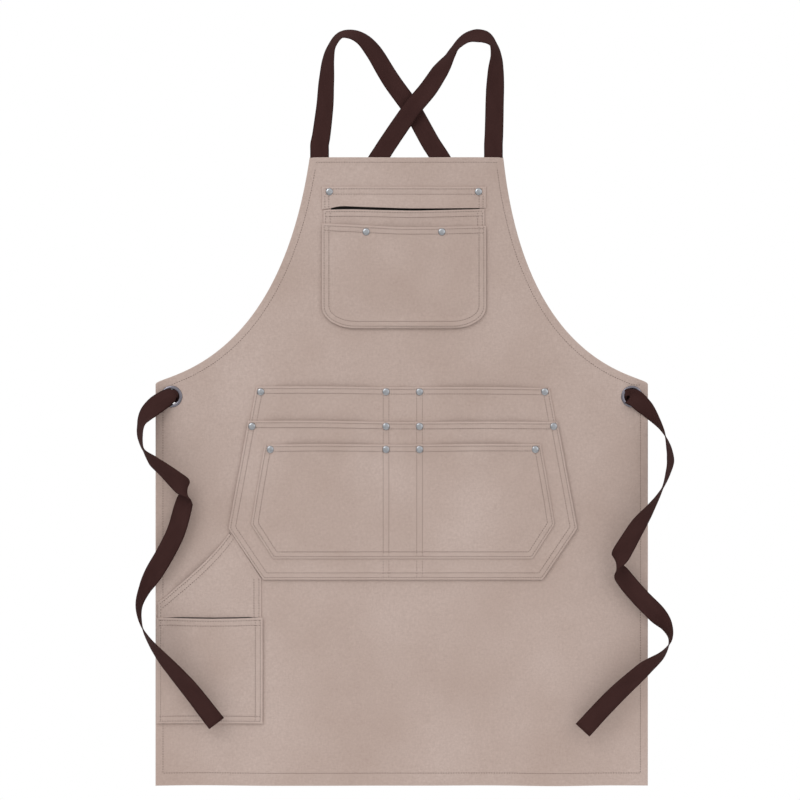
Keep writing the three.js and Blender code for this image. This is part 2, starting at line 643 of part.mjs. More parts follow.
const FACING_FRONT = new THREE.Vector3(0, -1, 0);
const bibMiddle = BIB_LEAN;
const frontLegOffset = BIB_WIDTH / 2 - STRAP_EDGE - WEB_WIDTH / 2;

// Where each strap's front leg and back leg meet the bib's top edge.
const leftFront = [bibMiddle - frontLegOffset, HINGE_Y, HINGE_Z, 0];
const leftBack = [bibMiddle + LEFT_BACK_LEG, HINGE_Y, HINGE_Z, 0];
const rightFront = [bibMiddle + frontLegOffset, HINGE_Y, HINGE_Z, 0];
const rightBack = [bibMiddle - RIGHT_BACK_LEG, HINGE_Y, HINGE_Z, 0];

/** The point a little above the place where a front leg leaves the bib, so that it leaves it square. */
function square([x, y, z]) {
  return [x, y, z + WEB_WIDTH / 3, 0];
}

/** A point on a back leg, which crosses the bib's top edge at a slant; by is how far down it is. */
function onLeg([x, y, z], side, by) {
  const slantAngle = THREE.MathUtils.degToRad(LEG_SLANT);
  return [x + side * by * Math.sin(slantAngle), y, z - by * Math.cos(slantAngle), 0];
}

// Each loop goes up from the bib, over the hanging point, and down across the other loop.
const leftLoop = [
  leftFront,
  square(leftFront),
  [-111.8, 1.8, -135.7, 8],
  [-106.3, 1, -91.4, 22],
  [-104.2, 0, -58.2, 32],
  [-102.1, 0, -30.5, 47],
  [-97.3, 1, -11.1, 60],
  [-85.5, 2, 4.2, 64],
  [-70.3, 3, 6.2, 57],
  [-55.1, 3.5, 0, 47],
  [-40, 4, -16.6, 24],
  [-14.2, 5, -58.2, 10],
  [14.2, 5.5, -98, 8],
  onLeg(leftBack, 1, -WEB_WIDTH / 2),
  leftBack,
];
const rightLoop = [
  rightFront,
  square(rightFront),
  [127.8, 1.8, -132.7, -4],
  [129.2, 0.5, -72, -12],
  [130.5, 0, -44.3, -30],
  [131, 0, -24.9, -50],
  [127, 0, -8.3, -62],
  [116.7, -0.5, 2.1, -47],
  [104.2, -1, 4.2, -42],
  [89, -1.5, 0, -53],
  [73.8, -2, -13.8, -64],
  [66.1, -2.5, -26.3, -56],
  [53, -3, -45.7, -24],
  [37.7, -3.5, -69.3, -10],
  [14.2, -3.5, -98, -8],
  onLeg(rightBack, -1, -WEB_WIDTH / 2),
  rightBack,
];

/** The strap end sewn behind the bib. */
function strapTail([x, y, z]) {
  const length = TAIL_LENGTH + HINGE_RISE - HINGE_GAP / 2;
  return new THREE.BoxGeometry(WEB_WIDTH, WEB_THICKNESS, length).translate(x, y, z - HINGE_GAP / 2 - length / 2);
}

/** A slack strap behind the panel, from the bib's top edge to an eyelet; side is -1 or 1. */
function strapRun([startX, startY, startZ], side) {
  const endX = side * (EYELET_X - WEB_IN_HOLE);
  const chord = new THREE.Vector2(endX - startX, EYELET_Z - startZ);
  const inward = new THREE.Vector2(side * chord.y, -side * chord.x).normalize();
  const bowed = ([share, bow, y]) => [
    startX + share * chord.x + bow * RUN_BOW * inward.x,
    y,
    startZ + share * chord.y + bow * RUN_BOW * inward.y,
    0,
  ];
  const slack = [[0.12, 0.2, 2.8], [0.25, 0.6, 3.5], [0.4, 0.88, 4], [0.55, 1, 4.4], [0.7, 0.96, 5], [0.82, 0.78, 5.8], [0.91, 0.46, 7]];
  return [
    [startX, startY, startZ, 0],
    onLeg([startX, startY, startZ], side, WEB_WIDTH / 2),
    ...slack.map(bowed),
    [endX - side * RUN_APPROACH, RUN_STAND_OFF, EYELET_Z + RUN_APPROACH * 0.6, 0, WEB_DRAWN_IN],
    [endX - side * RUN_APPROACH * 0.38, RUN_STAND_OFF * 0.88, EYELET_Z + RUN_APPROACH * 0.18, 0, WEB_CUPPED],
    [endX - side * RUN_APPROACH * 0.1, RUN_STAND_OFF * 0.52, EYELET_Z + 0.4, 0, WEB_CUPPED],
    [endX, WEB_END_GAP, EYELET_Z, 0, WEB_CUPPED],
  ];
}

// The free ends, from the middle of each eyelet, in loose curls in front of the panel.
const leftTie = [
  [WEB_IN_HOLE, -WEB_END_GAP, 0, 180, WEB_CUPPED],
  [WEB_IN_HOLE - 1.8, -4, 0, 180, WEB_CUPPED],
  [-2.6, -8.8, -1.6, 180, WEB_DRAWN_IN],
  [-17, -13.2, -9.4, 176],
  [-31, -17, -22.5, 152],
  [-39, -21.5, -38.5, 118],
  [-40.2, -26, -54.4, 112],
  [-35.3, -30, -73.4, 97],
  [-22.9, -32.5, -87.9, 128],
  [-6, -33.4, -101.5, 142],
  [9.5, -32.6, -114.5, 162],
  [17.8, -30.8, -122.3, 188],
  [22, -28.4, -127.2, 224],
  [23.6, -25.6, -131.4, 268],
  [23, -22.6, -136, 310],
  [20.4, -20.4, -143, 336],
  [16.8, -19, -156, 350],
  [8.4, -18, -185, 356],
  [-4.8, -17.5, -212.6, 360],
  [-20.1, -18, -238.9, 368],
  [-34.6, -22.5, -264.5, 410],
  [-42.2, -27, -288, 432],
  [-38.8, -30, -311.6, 450],
  [-28.4, -31, -333, 470],
  [-6.2, -30, -362.2, 497],
  [25.6, -27, -398.9, 520],
  [64.4, -25, -449.4, 535],
];
const rightTie = [
  [-WEB_IN_HOLE, -WEB_END_GAP, 0, 0, WEB_CUPPED],
  [1.8 - WEB_IN_HOLE, -4, 0, 0, WEB_CUPPED],
  [3.6, -8.8, -1.8, 0, WEB_DRAWN_IN],
  [17.6, -13.5, -15.2, -35],
  [31.4, -17.5, -32.5, -65],
  [41.8, -20.5, -49.9, -88],
  [48.1, -24, -68.6, -110],
  [50.1, -27.5, -87.3, -119],
  [46, -30.5, -106.6, -110],
  [38.4, -32.5, -126, -97],
  [22.4, -33.5, -152.4, -122],
  [6.5, -33.6, -174.5, -150],
  [-8, -32.8, -198.8, -166],
  [-17.2, -31.4, -214.6, -184],
  [-21.8, -29.4, -224.4, -220],
  [-23.4, -26.2, -231.4, -268],
  [-21.6, -22.8, -237, -308],
  [-17, -20.8, -244, -334],
  [-6.5, -19.4, -258, -346],
  [10.7, -19, -277.7, -350],
  [30, -19.5, -297.1, -360],
  [44.6, -24.5, -314.4, -410],
  [49.9, -28, -333.8, -445],
  [40.4, -30, -351.8, -475],
  [13.4, -28.5, -374.6, -510],
  [-25.9, -27.5, -410.6, -530],
  [-70.4, -25, -458.4, -538],
];

/** A tie's route, from its eyelet. */
function fromEyelet(rows, side) {
  return rows.map(([x, y, z, ...rest]) => [side * EYELET_X + x, y, EYELET_Z + z, ...rest]);
}

const halfGap = HINGE_GAP / 2;
piece("strap_tail_left", strapTail(leftFront), webbing);
piece("strap_tail_right", strapTail(rightFront), webbing);
piece("strap_loop_left", strap(trimmed(leftLoop, halfGap, halfGap), FACING_FRONT), webbing);
piece("strap_loop_right", strap(trimmed(rightLoop, halfGap, halfGap), FACING_FRONT), webbing);
piece("strap_run_left", strap(trimmed(strapRun(leftBack, 1), halfGap, 0), new THREE.Vector3(-0.01, -1, 0)), webbing);
piece("strap_run_right", strap(trimmed(strapRun(rightBack, -1), halfGap, 0), new THREE.Vector3(0.01, -1, 0)), webbing);
piece("tie_left", strap(fromEyelet(leftTie, -1), new THREE.Vector3(0.04, -1, 0)), webbing);
piece("tie_right", strap(fromEyelet(rightTie, 1), new THREE.Vector3(-0.04, -1, 0)), webbing);

export default apron;
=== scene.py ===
"""The look of a cross-back work apron that hangs by its two shoulder straps.

A shape is worked out in millimetres and is in metres once it is a mesh. The apron's front
faces -Y and up is +Z. y falls towards the front, so a layer further forward has a lower y.
"""

from __future__ import annotations

import logging
import math
from collections.abc import Callable
from dataclasses import dataclass, field
from enum import Enum

import bpy
import numpy as np
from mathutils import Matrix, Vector

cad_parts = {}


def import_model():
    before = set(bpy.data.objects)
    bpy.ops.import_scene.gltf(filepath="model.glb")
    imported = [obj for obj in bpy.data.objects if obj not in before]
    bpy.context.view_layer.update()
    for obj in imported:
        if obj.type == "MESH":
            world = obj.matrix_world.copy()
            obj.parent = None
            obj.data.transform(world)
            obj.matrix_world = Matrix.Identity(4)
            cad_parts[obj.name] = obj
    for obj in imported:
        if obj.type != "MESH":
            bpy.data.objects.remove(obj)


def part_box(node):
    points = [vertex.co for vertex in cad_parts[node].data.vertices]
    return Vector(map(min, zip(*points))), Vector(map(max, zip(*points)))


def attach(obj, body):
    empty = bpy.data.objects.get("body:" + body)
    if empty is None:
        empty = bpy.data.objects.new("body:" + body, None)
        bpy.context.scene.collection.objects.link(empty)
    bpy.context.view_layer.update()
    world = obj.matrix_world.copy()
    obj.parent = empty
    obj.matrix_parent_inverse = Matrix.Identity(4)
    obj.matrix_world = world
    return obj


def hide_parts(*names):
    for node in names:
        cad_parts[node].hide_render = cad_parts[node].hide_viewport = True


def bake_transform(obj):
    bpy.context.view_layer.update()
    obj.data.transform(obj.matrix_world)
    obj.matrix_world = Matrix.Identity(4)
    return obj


log = logging.getLogger("apron")

Array = np.ndarray
Line = list[tuple[float, float]]
Surface = Callable[[Array, Array], Array]
Colour = tuple[float, float, float]
Place = tuple[float, float, float]

MM = 0.001
PANEL_BODY = "apron_panel"
UPRIGHT = (math.pi / 2, 0, 0)  # turns a round primitive so that its axis runs front to back


# ---------------------------------------------------------------- small sums


def ease(low: float, high: float, value: Array | float) -> Array:
    """A smooth step.

    Args:
        low: value at and below which the step is 0.
        high: value at and above which the step is 1.
        value: where the step is read.

    Returns:
        The step, from 0 to 1.
    """
    share = np.clip((np.asarray(value, float) - low) / (high - low), 0.0, 1.0)
    return share * share * (3 - 2 * share)


def bump_at(centre: float, width: float, value: Array | float) -> Array:
    """A soft hump of height 1 at centre, about width wide each way."""
    return np.exp(-(((np.asarray(value, float) - centre) / width) ** 2))


def distance_to(line: Line, x: Array, z: Array) -> Array:
    """Distance from points to a line of straight pieces.

    Args:
        line: the line's corners, (x, z).
        x: the points' x.
        z: the points' z.

    Returns:
        The distance of each point, in the line's unit.
    """
    x, z = np.broadcast_arrays(np.asarray(x, float), np.asarray(z, float))
    nearest = np.full(x.shape, 1e9)
    for (ax, az), (bx, bz) in zip(line, line[1:]):
        run_x, run_z = bx - ax, bz - az
        square = max(run_x * run_x + run_z * run_z, 1e-9)
        share = np.clip(((x - ax) * run_x + (z - az) * run_z) / square, 0.0, 1.0)
        nearest = np.minimum(nearest, np.hypot(x - ax - share * run_x, z - az - share * run_z))
    return nearest


def ripples(
    x: Array, z: Array, seed: int, shortest: float, longest: float, upright: float = 0.0
) -> Array:
    """Soft irregular waves of about unit height.

    Args:
        x: where the waves are read.
        z: where the waves are read.
        seed: picks the waves.
        shortest: shortest wavelength.
        longest: longest wavelength.
        upright: 0 for waves that run every way, 1 for folds that hang upright.

    Returns:
        The height of the waves at each point.
    """
    pick = np.random.default_rng(seed)
    total = np.zeros(np.broadcast(x, z).shape)
    for _ in range(10):
        length = pick.uniform(shortest, longest)
        angle = pick.uniform(-math.pi / 2, math.pi / 2) * (1 - upright)
        phase = pick.uniform(0, 2 * math.pi)
        total = total + np.sin(2 * math.pi * (x * math.cos(angle) + z * math.sin(angle)) / length + phase)
    return total / math.sqrt(10)


def area_of(outline: Line) -> float:
    """The area inside a closed outline, in square metres."""
    pairs = zip(outline, outline[1:] + outline[:1])
    return abs(sum(ax * bz - bx * az for (ax, az), (bx, bz) in pairs)) / 2 * MM * MM


# ---------------------------------------------------------------- meshes


def deselect_all() -> None:
    """Leaves nothing selected, so that an operator acts only on the next piece."""
    for obj in bpy.context.selected_objects:
        obj.select_set(False)


def mesh_object(name: str, points: Array, faces: list[tuple[int, ...]]) -> bpy.types.Object:
    """Makes a smooth-shaded mesh object at the origin.

    Args:
        name: the piece's name.
        points: its points, in millimetres.
        faces: its faces.

    Returns:
        The new object.
    """
    mesh = bpy.data.meshes.new(name)
    mesh.from_pydata((np.asarray(points) * MM).tolist(), [], faces)
    mesh.polygons.foreach_set("use_smooth", [True] * len(mesh.polygons))
    mesh.update()
    obj = bpy.data.objects.new(name, mesh)
    bpy.context.scene.collection.objects.link(obj)
    return obj


def applied(obj: bpy.types.Object, kind: str, **settings: object) -> None:
    """Adds a modifier with its settings to an object and applies it."""
    deselect_all()
    obj.select_set(True)
    bpy.context.view_layer.objects.active = obj
    modifier = obj.modifiers.new(kind.lower(), kind)
    for key, value in settings.items():
        setattr(modifier, key, value)
    bpy.ops.object.modifier_apply(modifier=modifier.name)


def round_primitive(add: Callable[..., set[str]], location: Place, **sizes: object) -> bpy.types.Object:
    """Adds a cylinder or torus whose axis runs front to back.

    Args:
        add: the operator that adds it.
        location: its middle, in metres.
        sizes: the operator's other settings.

    Returns:
        The new object.
    """
    deselect_all()
    add(location=location, rotation=UPRIGHT, **sizes)
    return bpy.context.active_object


def squeezed(obj: bpy.types.Object, scale: Place) -> bpy.types.Object:
    """Scales the active object along its own axes, applies that, and shades it smooth."""
    obj.scale = scale
    bpy.ops.object.transform_apply(location=True, rotation=True, scale=True)
    bpy.ops.object.shade_smooth()
    return obj


def note_on(obj: bpy.types.Object, name: str, values: Array) -> None:
    """Stores one number for each point of a mesh, for its finish to read."""
    attribute = obj.data.attributes.new(name, "FLOAT", "POINT")
    attribute.data.foreach_set("value", np.asarray(values, np.float32).ravel())


def joined(name: str, parts: list[bpy.types.Object]) -> bpy.types.Object:
    """Joins objects into one, with its place in its mesh.

    Args:
        name: the joined piece's name.
        parts: the objects, the first of which is kept.

    Returns:
        The joined object.
    """
    deselect_all()
    for part in parts:
        part.select_set(True)
    bpy.context.view_layer.objects.active = parts[0]
    if len(parts) > 1:
        bpy.ops.object.join()
    bpy.ops.object.transform_apply(location=True, rotation=True, scale=True)
    whole = bpy.context.view_layer.objects.active
    whole.name = whole.data.name = name
    deselect_all()
    return whole


def place_piece(
    obj: bpy.types.Object, body: str, nodes: tuple[str, ...], finish: bpy.types.Material
) -> None:
    """Gives a finished piece its material, its body and the nodes it stands for.

    Args:
        obj: the piece.
        body: the body that it rides on.
        nodes: the nodes that it replaces.
        finish: its material.
    """
    obj.data.materials.clear()
    obj.data.materials.append(finish)
    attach(obj, body)
    if nodes:
        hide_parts(*nodes)
    log.info("%s: %d faces on %s", obj.name, len(obj.data.polygons), body)


# ---------------------------------------------------------------- finishes


class Nodes:
    """A few short words for laying out shader nodes."""

    def __init__(self, tree: bpy.types.NodeTree) -> None:
        """Starts on an empty tree."""
        self.tree = tree
        tree.nodes.clear()

    def add(self, kind: str, **settings: object) -> bpy.types.Node:
        """Adds a node and sets its properties.

        Args:
            kind: the node's type.
            settings: the node's properties.

        Returns:
            The node.
        """
        node = self.tree.nodes.new(kind)
        for key, value in settings.items():
            setattr(node, key, value)
        return node

    def feed(self, socket: bpy.types.NodeSocket, value: object) -> None:
        """Links an output to a socket, or sets the socket's own value."""
        if isinstance(value, bpy.types.NodeSocket):
            self.tree.links.new(value, socket)
        else:
            socket.default_value = value

    def sum(self, operation: str, *values: object) -> bpy.types.NodeSocket:
        """A math node's result.

        Args:
            operation: the node's operation.
            values: its inputs, numbers or outputs.

        Returns:
            The result's socket.
        """
        node = self.add("ShaderNodeMath", operation=operation)
        for socket, value in zip(node.inputs, values):
            self.feed(socket, value)
        return node.outputs[0]

    def mix(self, share: object, first: object, second: object, blend: str = "MIX") -> bpy.types.NodeSocket:
        """A colour mix node's result.

        Args:
            share: how much of the second colour.
            first: the first colour.
            second: the second colour.
            blend: how they mix.

        Returns:
            The result's socket.
        """
        node = self.add("ShaderNodeMix", data_type="RGBA", blend_type=blend)
        self.feed(node.inputs[0], share)
        self.feed(node.inputs[6], first)
        self.feed(node.inputs[7], second)
        return node.outputs[2]

    def noise(self, where: object, scale: float, detail: float = 3.0) -> bpy.types.NodeSocket:
        """A noise texture's value.

        Args:
            where: the coordinates.
            scale: its scale.
            detail: its finer octaves.

        Returns:
            The value's socket.
        """
        node = self.add("ShaderNodeTexNoise")
        self.feed(node.inputs["Vector"], where)
        node.inputs["Scale"].default_value = scale
        node.inputs["Detail"].default_value = detail
        return node.outputs[0]

    def stretched(self, where: object, scale: tuple[float, float, float]) -> bpy.types.NodeSocket:
        """Coordinates scaled by a Mapping node."""
        node = self.add("ShaderNodeMapping")
        self.feed(node.inputs["Vector"], where)
        node.inputs["Scale"].default_value = scale
        return node.outputs[0]

    def plug(self, node: bpy.types.Node, values: dict[str, object]) -> None:
        """Links or sets several of a node's inputs by name."""
        for label, value in values.items():
            self.feed(node.inputs[label], value)

    def place(self, output: str = "Object") -> bpy.types.NodeSocket:
        """An output of a Texture Coordinate node."""
        return self.add("ShaderNodeTexCoord").outputs[output]

    def parts(self, vector: object) -> bpy.types.NodeOutputs:
        """The x, y and z of a vector."""
        node = self.add("ShaderNodeSeparateXYZ")
        self.feed(node.inputs[0], vector)
        return node.outputs

    def hump(self, value: object, fall: float) -> bpy.types.NodeSocket:
        """A hump of height 1 where a value is 0, which falls with its square."""
        return self.sum("EXPONENT", self.sum("MULTIPLY", self.sum("MULTIPLY", value, value), -fall))

    def bump(self, height: object, distance: float, strength: float = 1.0) -> bpy.types.NodeSocket:
        """A Bump node's normal."""
        node = self.add("ShaderNodeBump")
        self.plug(node, {"Distance": distance, "Strength": strength, "Height": height})
        return node.outputs[0]

    def between(self, value: object, low: float, high: float) -> bpy.types.NodeSocket:
        """A value from 0 to 1 spread over low to high."""
        node = self.add("ShaderNodeMapRange")
        self.feed(node.inputs[0], value)
        node.inputs[3].default_value = low
        node.inputs[4].default_value = high
        return node.outputs[0]


def opaque(colour: Colour) -> tuple[float, ...]:
    """A colour with full alpha."""
    return (*colour, 1.0)


def shader_group(
    name: str, inputs: list[tuple[str, str]], outputs: list[tuple[str, str]]
) -> tuple[bpy.types.NodeTree, Nodes]:
    """Makes an empty shader node group with its sockets.

    Args:
        name: the group's name.
        inputs: (name, socket type) of each input.
        outputs: (name, socket type) of each output.

    Returns:
        The group, and its node layout.
    """
    tree = bpy.data.node_groups.new(name, "ShaderNodeTree")
    for label, kind in inputs:
        tree.interface.new_socket(name=label, in_out="INPUT", socket_type=kind)
    for label, kind in outputs:
        tree.interface.new_socket(name=label, in_out="OUTPUT", socket_type=kind)
    return tree, Nodes(tree)


FLOAT = "NodeSocketFloat"
VECTOR = "NodeSocketVector"


def woven_group() -> bpy.types.NodeTree:
    """Builds the plain weave of a cloth: its threads' relief, and their uneven shade.

    Returns:
        The group, with Height and Shade from 0 to 1 about 0.5.
    """
    tree, nodes = shader_group(
        "plain_weave", [("Place", VECTOR), ("Threads", FLOAT)], [("Height", FLOAT), ("Shade", FLOAT)]
    )
    given = nodes.add("NodeGroupInput")
    place = given.outputs["Place"]
    x, _, z = nodes.parts(place)
    turn = nodes.sum("MULTIPLY", given.outputs["Threads"], math.pi)
    warp = nodes.sum("SINE", nodes.sum("MULTIPLY", x, turn))
    weft = nodes.sum("SINE", nodes.sum("MULTIPLY", z, turn))
    crossing = nodes.sum("MULTIPLY", warp, weft)
    upright = nodes.noise(nodes.stretched(place, (1500.0, 600.0, 190.0)), 1.0, 2.0)
    level = nodes.noise(nodes.stretched(place, (190.0, 600.0, 1500.0)), 1.0, 2.0)
    slub = nodes.sum("ADD", upright, level)
    height = nodes.sum("MULTIPLY_ADD", crossing, 0.25, nodes.sum("MULTIPLY", slub, 0.5))
    fine = nodes.noise(place, 330.0, 4.0)
    shade = nodes.sum("MULTIPLY_ADD", slub, 0.30, nodes.sum("MULTIPLY", fine, 0.40))
    nodes.plug(nodes.add("NodeGroupOutput"), {"Height": height, "Shade": shade})
    return tree


def seam_group() -> bpy.types.NodeTree:
    """Builds a sewn seam: grooves along its two rows, and puckers beside them.

    Returns:
        The group, with Height to add to a bump and Groove from 0 to 1.
    """
    tree, nodes = shader_group(
        "sewn_seam",
        [("Place", VECTOR), ("Distance", FLOAT), ("Row 1", FLOAT), ("Row 2", FLOAT)],
        [("Height", FLOAT), ("Groove", FLOAT)],
    )
    given = nodes.add("NodeGroupInput")
    grooves = []
    for row in ("Row 1", "Row 2"):
        grooves.append(nodes.hump(nodes.sum("SUBTRACT", given.outputs["Distance"], given.outputs[row]), 5.5))
    groove = nodes.sum("MAXIMUM", *grooves)
    inside = nodes.sum("MULTIPLY", given.outputs["Row 2"], 0.75)
    past = nodes.sum("SUBTRACT", given.outputs["Distance"], inside)
    near = nodes.hump(past, 0.012)
    pucker = nodes.noise(given.outputs["Place"], 150.0, 1.0)
    lifted = nodes.sum("MULTIPLY", nodes.sum("SUBTRACT", pucker, 0.5), near)
    height = nodes.sum("SUBTRACT", nodes.sum("MULTIPLY", lifted, 1.4), nodes.sum("MULTIPLY", groove, 0.35))
    nodes.plug(nodes.add("NodeGroupOutput"), {"Height": height, "Groove": groove})
    return tree


class Shared:
    """Node groups that more than one finish uses, each built once."""

    made: dict[str, bpy.types.NodeTree] = {}

    @classmethod
    def group(cls, nodes: Nodes, name: str) -> bpy.types.Node:
        """Places a shared group in a material.

        Args:
            nodes: the material's layout.
            name: weave or seam.

        Returns:
            The group's node.
        """
        build = {"weave": woven_group, "seam": seam_group}[name]
        if name not in cls.made:
            cls.made[name] = build()
        return nodes.add("ShaderNodeGroup", node_tree=cls.made[name])


def new_material(name: str, colour: Colour) -> tuple[bpy.types.Material, Nodes, bpy.types.Node]:
    """Makes a material with its shader and output.

    Args:
        name: its name.
        colour: its colour in a plain view.

    Returns:
        The material, its node layout and its shader.
    """
    material = bpy.data.materials.new(name)
    material.use_nodes = True
    material.diffuse_color = opaque(colour)
    nodes = Nodes(material.node_tree)
    shader = nodes.add("ShaderNodeBsdfPrincipled")
    out = nodes.add("ShaderNodeOutputMaterial")
    nodes.feed(out.inputs["Surface"], shader.outputs[0])
    return material, nodes, shader


@dataclass(frozen=True)
class Canvas:
    """Washed cotton canvas."""

    name: str = "canvas"
    colour: Colour = (0.530, 0.414, 0.362)
    faded: Colour = (0.630, 0.512, 0.462)
    # the darker yarn's tone, and also the painted shade in the stitch grooves
    dark_yarn_and_groove_shade: Colour = (0.385, 0.285, 0.246)
    threads: float = 1500.0
    rows: tuple[float, float] = (3.0, 9.6)
    painted_groove_shade: float = 0.14
    edge_wear: float = 0.4
    relief: float = 0.22

    def make(self) -> bpy.types.Material:
        """Lays out the canvas, which reads the distance to its stitched edge in millimetres.

        Returns:
            The material.
        """
        material, nodes, shader = new_material(self.name, self.colour)
        place = nodes.place()
        weave = Shared.group(nodes, "weave")
        nodes.plug(weave, {"Place": place, "Threads": self.threads})
        edge = nodes.add("ShaderNodeAttribute", attribute_name="edge_distance").outputs["Fac"]
        seam = Shared.group(nodes, "seam")
        nodes.plug(seam, {"Place": place, "Distance": edge, "Row 1": self.rows[0], "Row 2": self.rows[1]})
        colour, faded, dark_yarn_and_groove_shade = opaque(self.colour), opaque(self.faded), opaque(self.dark_yarn_and_groove_shade)
        shade = weave.outputs["Shade"]
        tone = nodes.mix(nodes.between(nodes.noise(place, 7.0, 5.0), -0.9, 1.7), colour, faded)
        tone = nodes.mix(nodes.between(shade, -0.5, 1.1), tone, dark_yarn_and_groove_shade)
        # painted shade: the colour darkens along the stitch grooves, where shade falls
        tone = nodes.mix(nodes.sum("MULTIPLY", seam.outputs["Groove"], self.painted_groove_shade), tone, dark_yarn_and_groove_shade)
        worn = nodes.sum("MULTIPLY", nodes.sum("EXPONENT", nodes.sum("MULTIPLY", edge, -1.6)), self.edge_wear)
        height = nodes.sum("MULTIPLY_ADD", weave.outputs["Height"], self.relief, seam.outputs["Height"])
        nodes.plug(shader, {
            "Base Color": nodes.mix(worn, tone, faded),
            "Roughness": nodes.between(shade, 0.82, 0.98),
            "Specular IOR Level": 0.25,
            "Sheen Weight": 0.12,
            "Sheen Roughness": 0.5,
            "Normal": nodes.bump(height, 0.0006, 0.55),
        })
        return material


@dataclass(frozen=True)
class Thread:
    """Sewing thread."""

    name: str = "thread"
    colour: Colour = (0.150, 0.104, 0.088)

    def make(self) -> bpy.types.Material:
        """Lays out twisted thread.

        Returns:
            The material.
        """
        material, nodes, shader = new_material(self.name, self.colour)
        twist = nodes.noise(nodes.place(), 1800.0, 1.0)
        dark, light = (opaque(tuple(c * share for c in self.colour)) for share in (0.8, 1.2))
        tone = nodes.mix(twist, dark, light)
        nodes.plug(shader, {"Base Color": tone, "Roughness": 0.7, "Normal": nodes.bump(twist, 0.0001)})
        return material


@dataclass(frozen=True)
class Webbing:
    """Flat cotton webbing, woven in narrow chevrons along its run."""

    name: str = "webbing"
    colour: Colour = (0.0310, 0.0125, 0.0115)
    light: Colour = (0.0860, 0.0390, 0.0350)
    rib: float = 0.0017
    chevron: float = 0.0033

    def make(self) -> bpy.types.Material:
        """Lays out the webbing, which reads its own UV map: x across and y along, in metres.

        Returns:
            The material.
        """
        material, nodes, shader = new_material(self.name, self.colour)
        uv = nodes.add("ShaderNodeUVMap", uv_map="run").outputs[0]
        across, along, _ = nodes.parts(uv)
        zigzag = nodes.sum("PINGPONG", across, self.chevron)
        phase = nodes.sum("MULTIPLY", nodes.sum("ADD", along, zigzag), 2 * math.pi / self.rib)
        rib = nodes.sum("MULTIPLY_ADD", nodes.sum("SINE", phase), 0.5, 0.5)
        fibre = nodes.noise(nodes.stretched(uv, (2200.0, 500.0, 1.0)), 1.0, 3.0)
        patch = nodes.noise(nodes.stretched(uv, (60.0, 25.0, 1.0)), 1.0, 3.0)
        colour = opaque(self.colour)
        fuzz = nodes.sum("MULTIPLY", fibre, 0.4)
        tone = nodes.mix(nodes.sum("MULTIPLY_ADD", rib, 0.45, fuzz), colour, opaque(self.light))
        nodes.plug(shader, {
            "Base Color": nodes.mix(nodes.between(patch, -0.3, 0.7), tone, colour),
            "Roughness": nodes.between(fibre, 0.66, 0.92),
            "Specular IOR Level": 0.06,
            "Normal": nodes.bump(nodes.sum("MULTIPLY_ADD", rib, 0.7, fuzz), 0.00035, 0.6),
        })
        return material


@dataclass(frozen=True)
class Nickel:
    """Bright nickel plate with fine rubs, and painted shade on the sides that turn from front and back."""

    name: str = "nickel"
    colour: Colour = (0.58, 0.60, 0.63)
    dull: Colour = (0.30, 0.315, 0.335)
    # rim: painted shade, the near-black colour that the sides of domes and rings take
    rim: Colour = (0.050, 0.052, 0.060)

    def make(self) -> bpy.types.Material:
        """Lays out the plate.

        Returns:
            The material.
        """
        material, nodes, shader = new_material(self.name, self.colour)
        place = nodes.place()
        rub = nodes.noise(nodes.stretched(place, (500.0, 500.0, 1600.0)), 1.0, 4.0)
        haze = nodes.between(nodes.noise(place, 240.0, 3.0), -0.3, 0.8)
        # painted shade: the plate darkens to the rim colour where its surface turns from front and back,
        # which outlines domes and rings in dark
        out_of_painted_shade = nodes.sum("POWER", nodes.sum("ABSOLUTE", nodes.parts(nodes.place("Normal"))[1]), 3.0)
        plate = nodes.mix(haze, opaque(self.colour), opaque(self.dull))
        nodes.plug(shader, {
            "Base Color": nodes.mix(out_of_painted_shade, opaque(self.rim), plate),
            "Roughness": nodes.between(rub, 0.12, 0.36),
            "Metallic": 1.0,
            "Normal": nodes.bump(rub, 0.00005, 0.4),
        })
        return material


@dataclass
class Finishes:
    """The materials of the whole apron."""

    canvas: bpy.types.Material
    panel: bpy.types.Material
    thread: bpy.types.Material
    webbing: bpy.types.Material
    nickel: bpy.types.Material
    eyelet: bpy.types.Material

    @classmethod
    def make(cls) -> Finishes:
        """Makes every material once."""
        return cls(
            canvas=Canvas().make(),
            panel=Canvas(name="panel_canvas", rows=(EDGES.side_row, EDGES.side_row)).make(),
            thread=Thread().make(),
            webbing=Webbing().make(),
            nickel=Nickel().make(),
            eyelet=Nickel("eyelet_plate", (0.30, 0.285, 0.33), (0.16, 0.155, 0.185)).make(),
        )


# ---------------------------------------------------------------- cloth layers


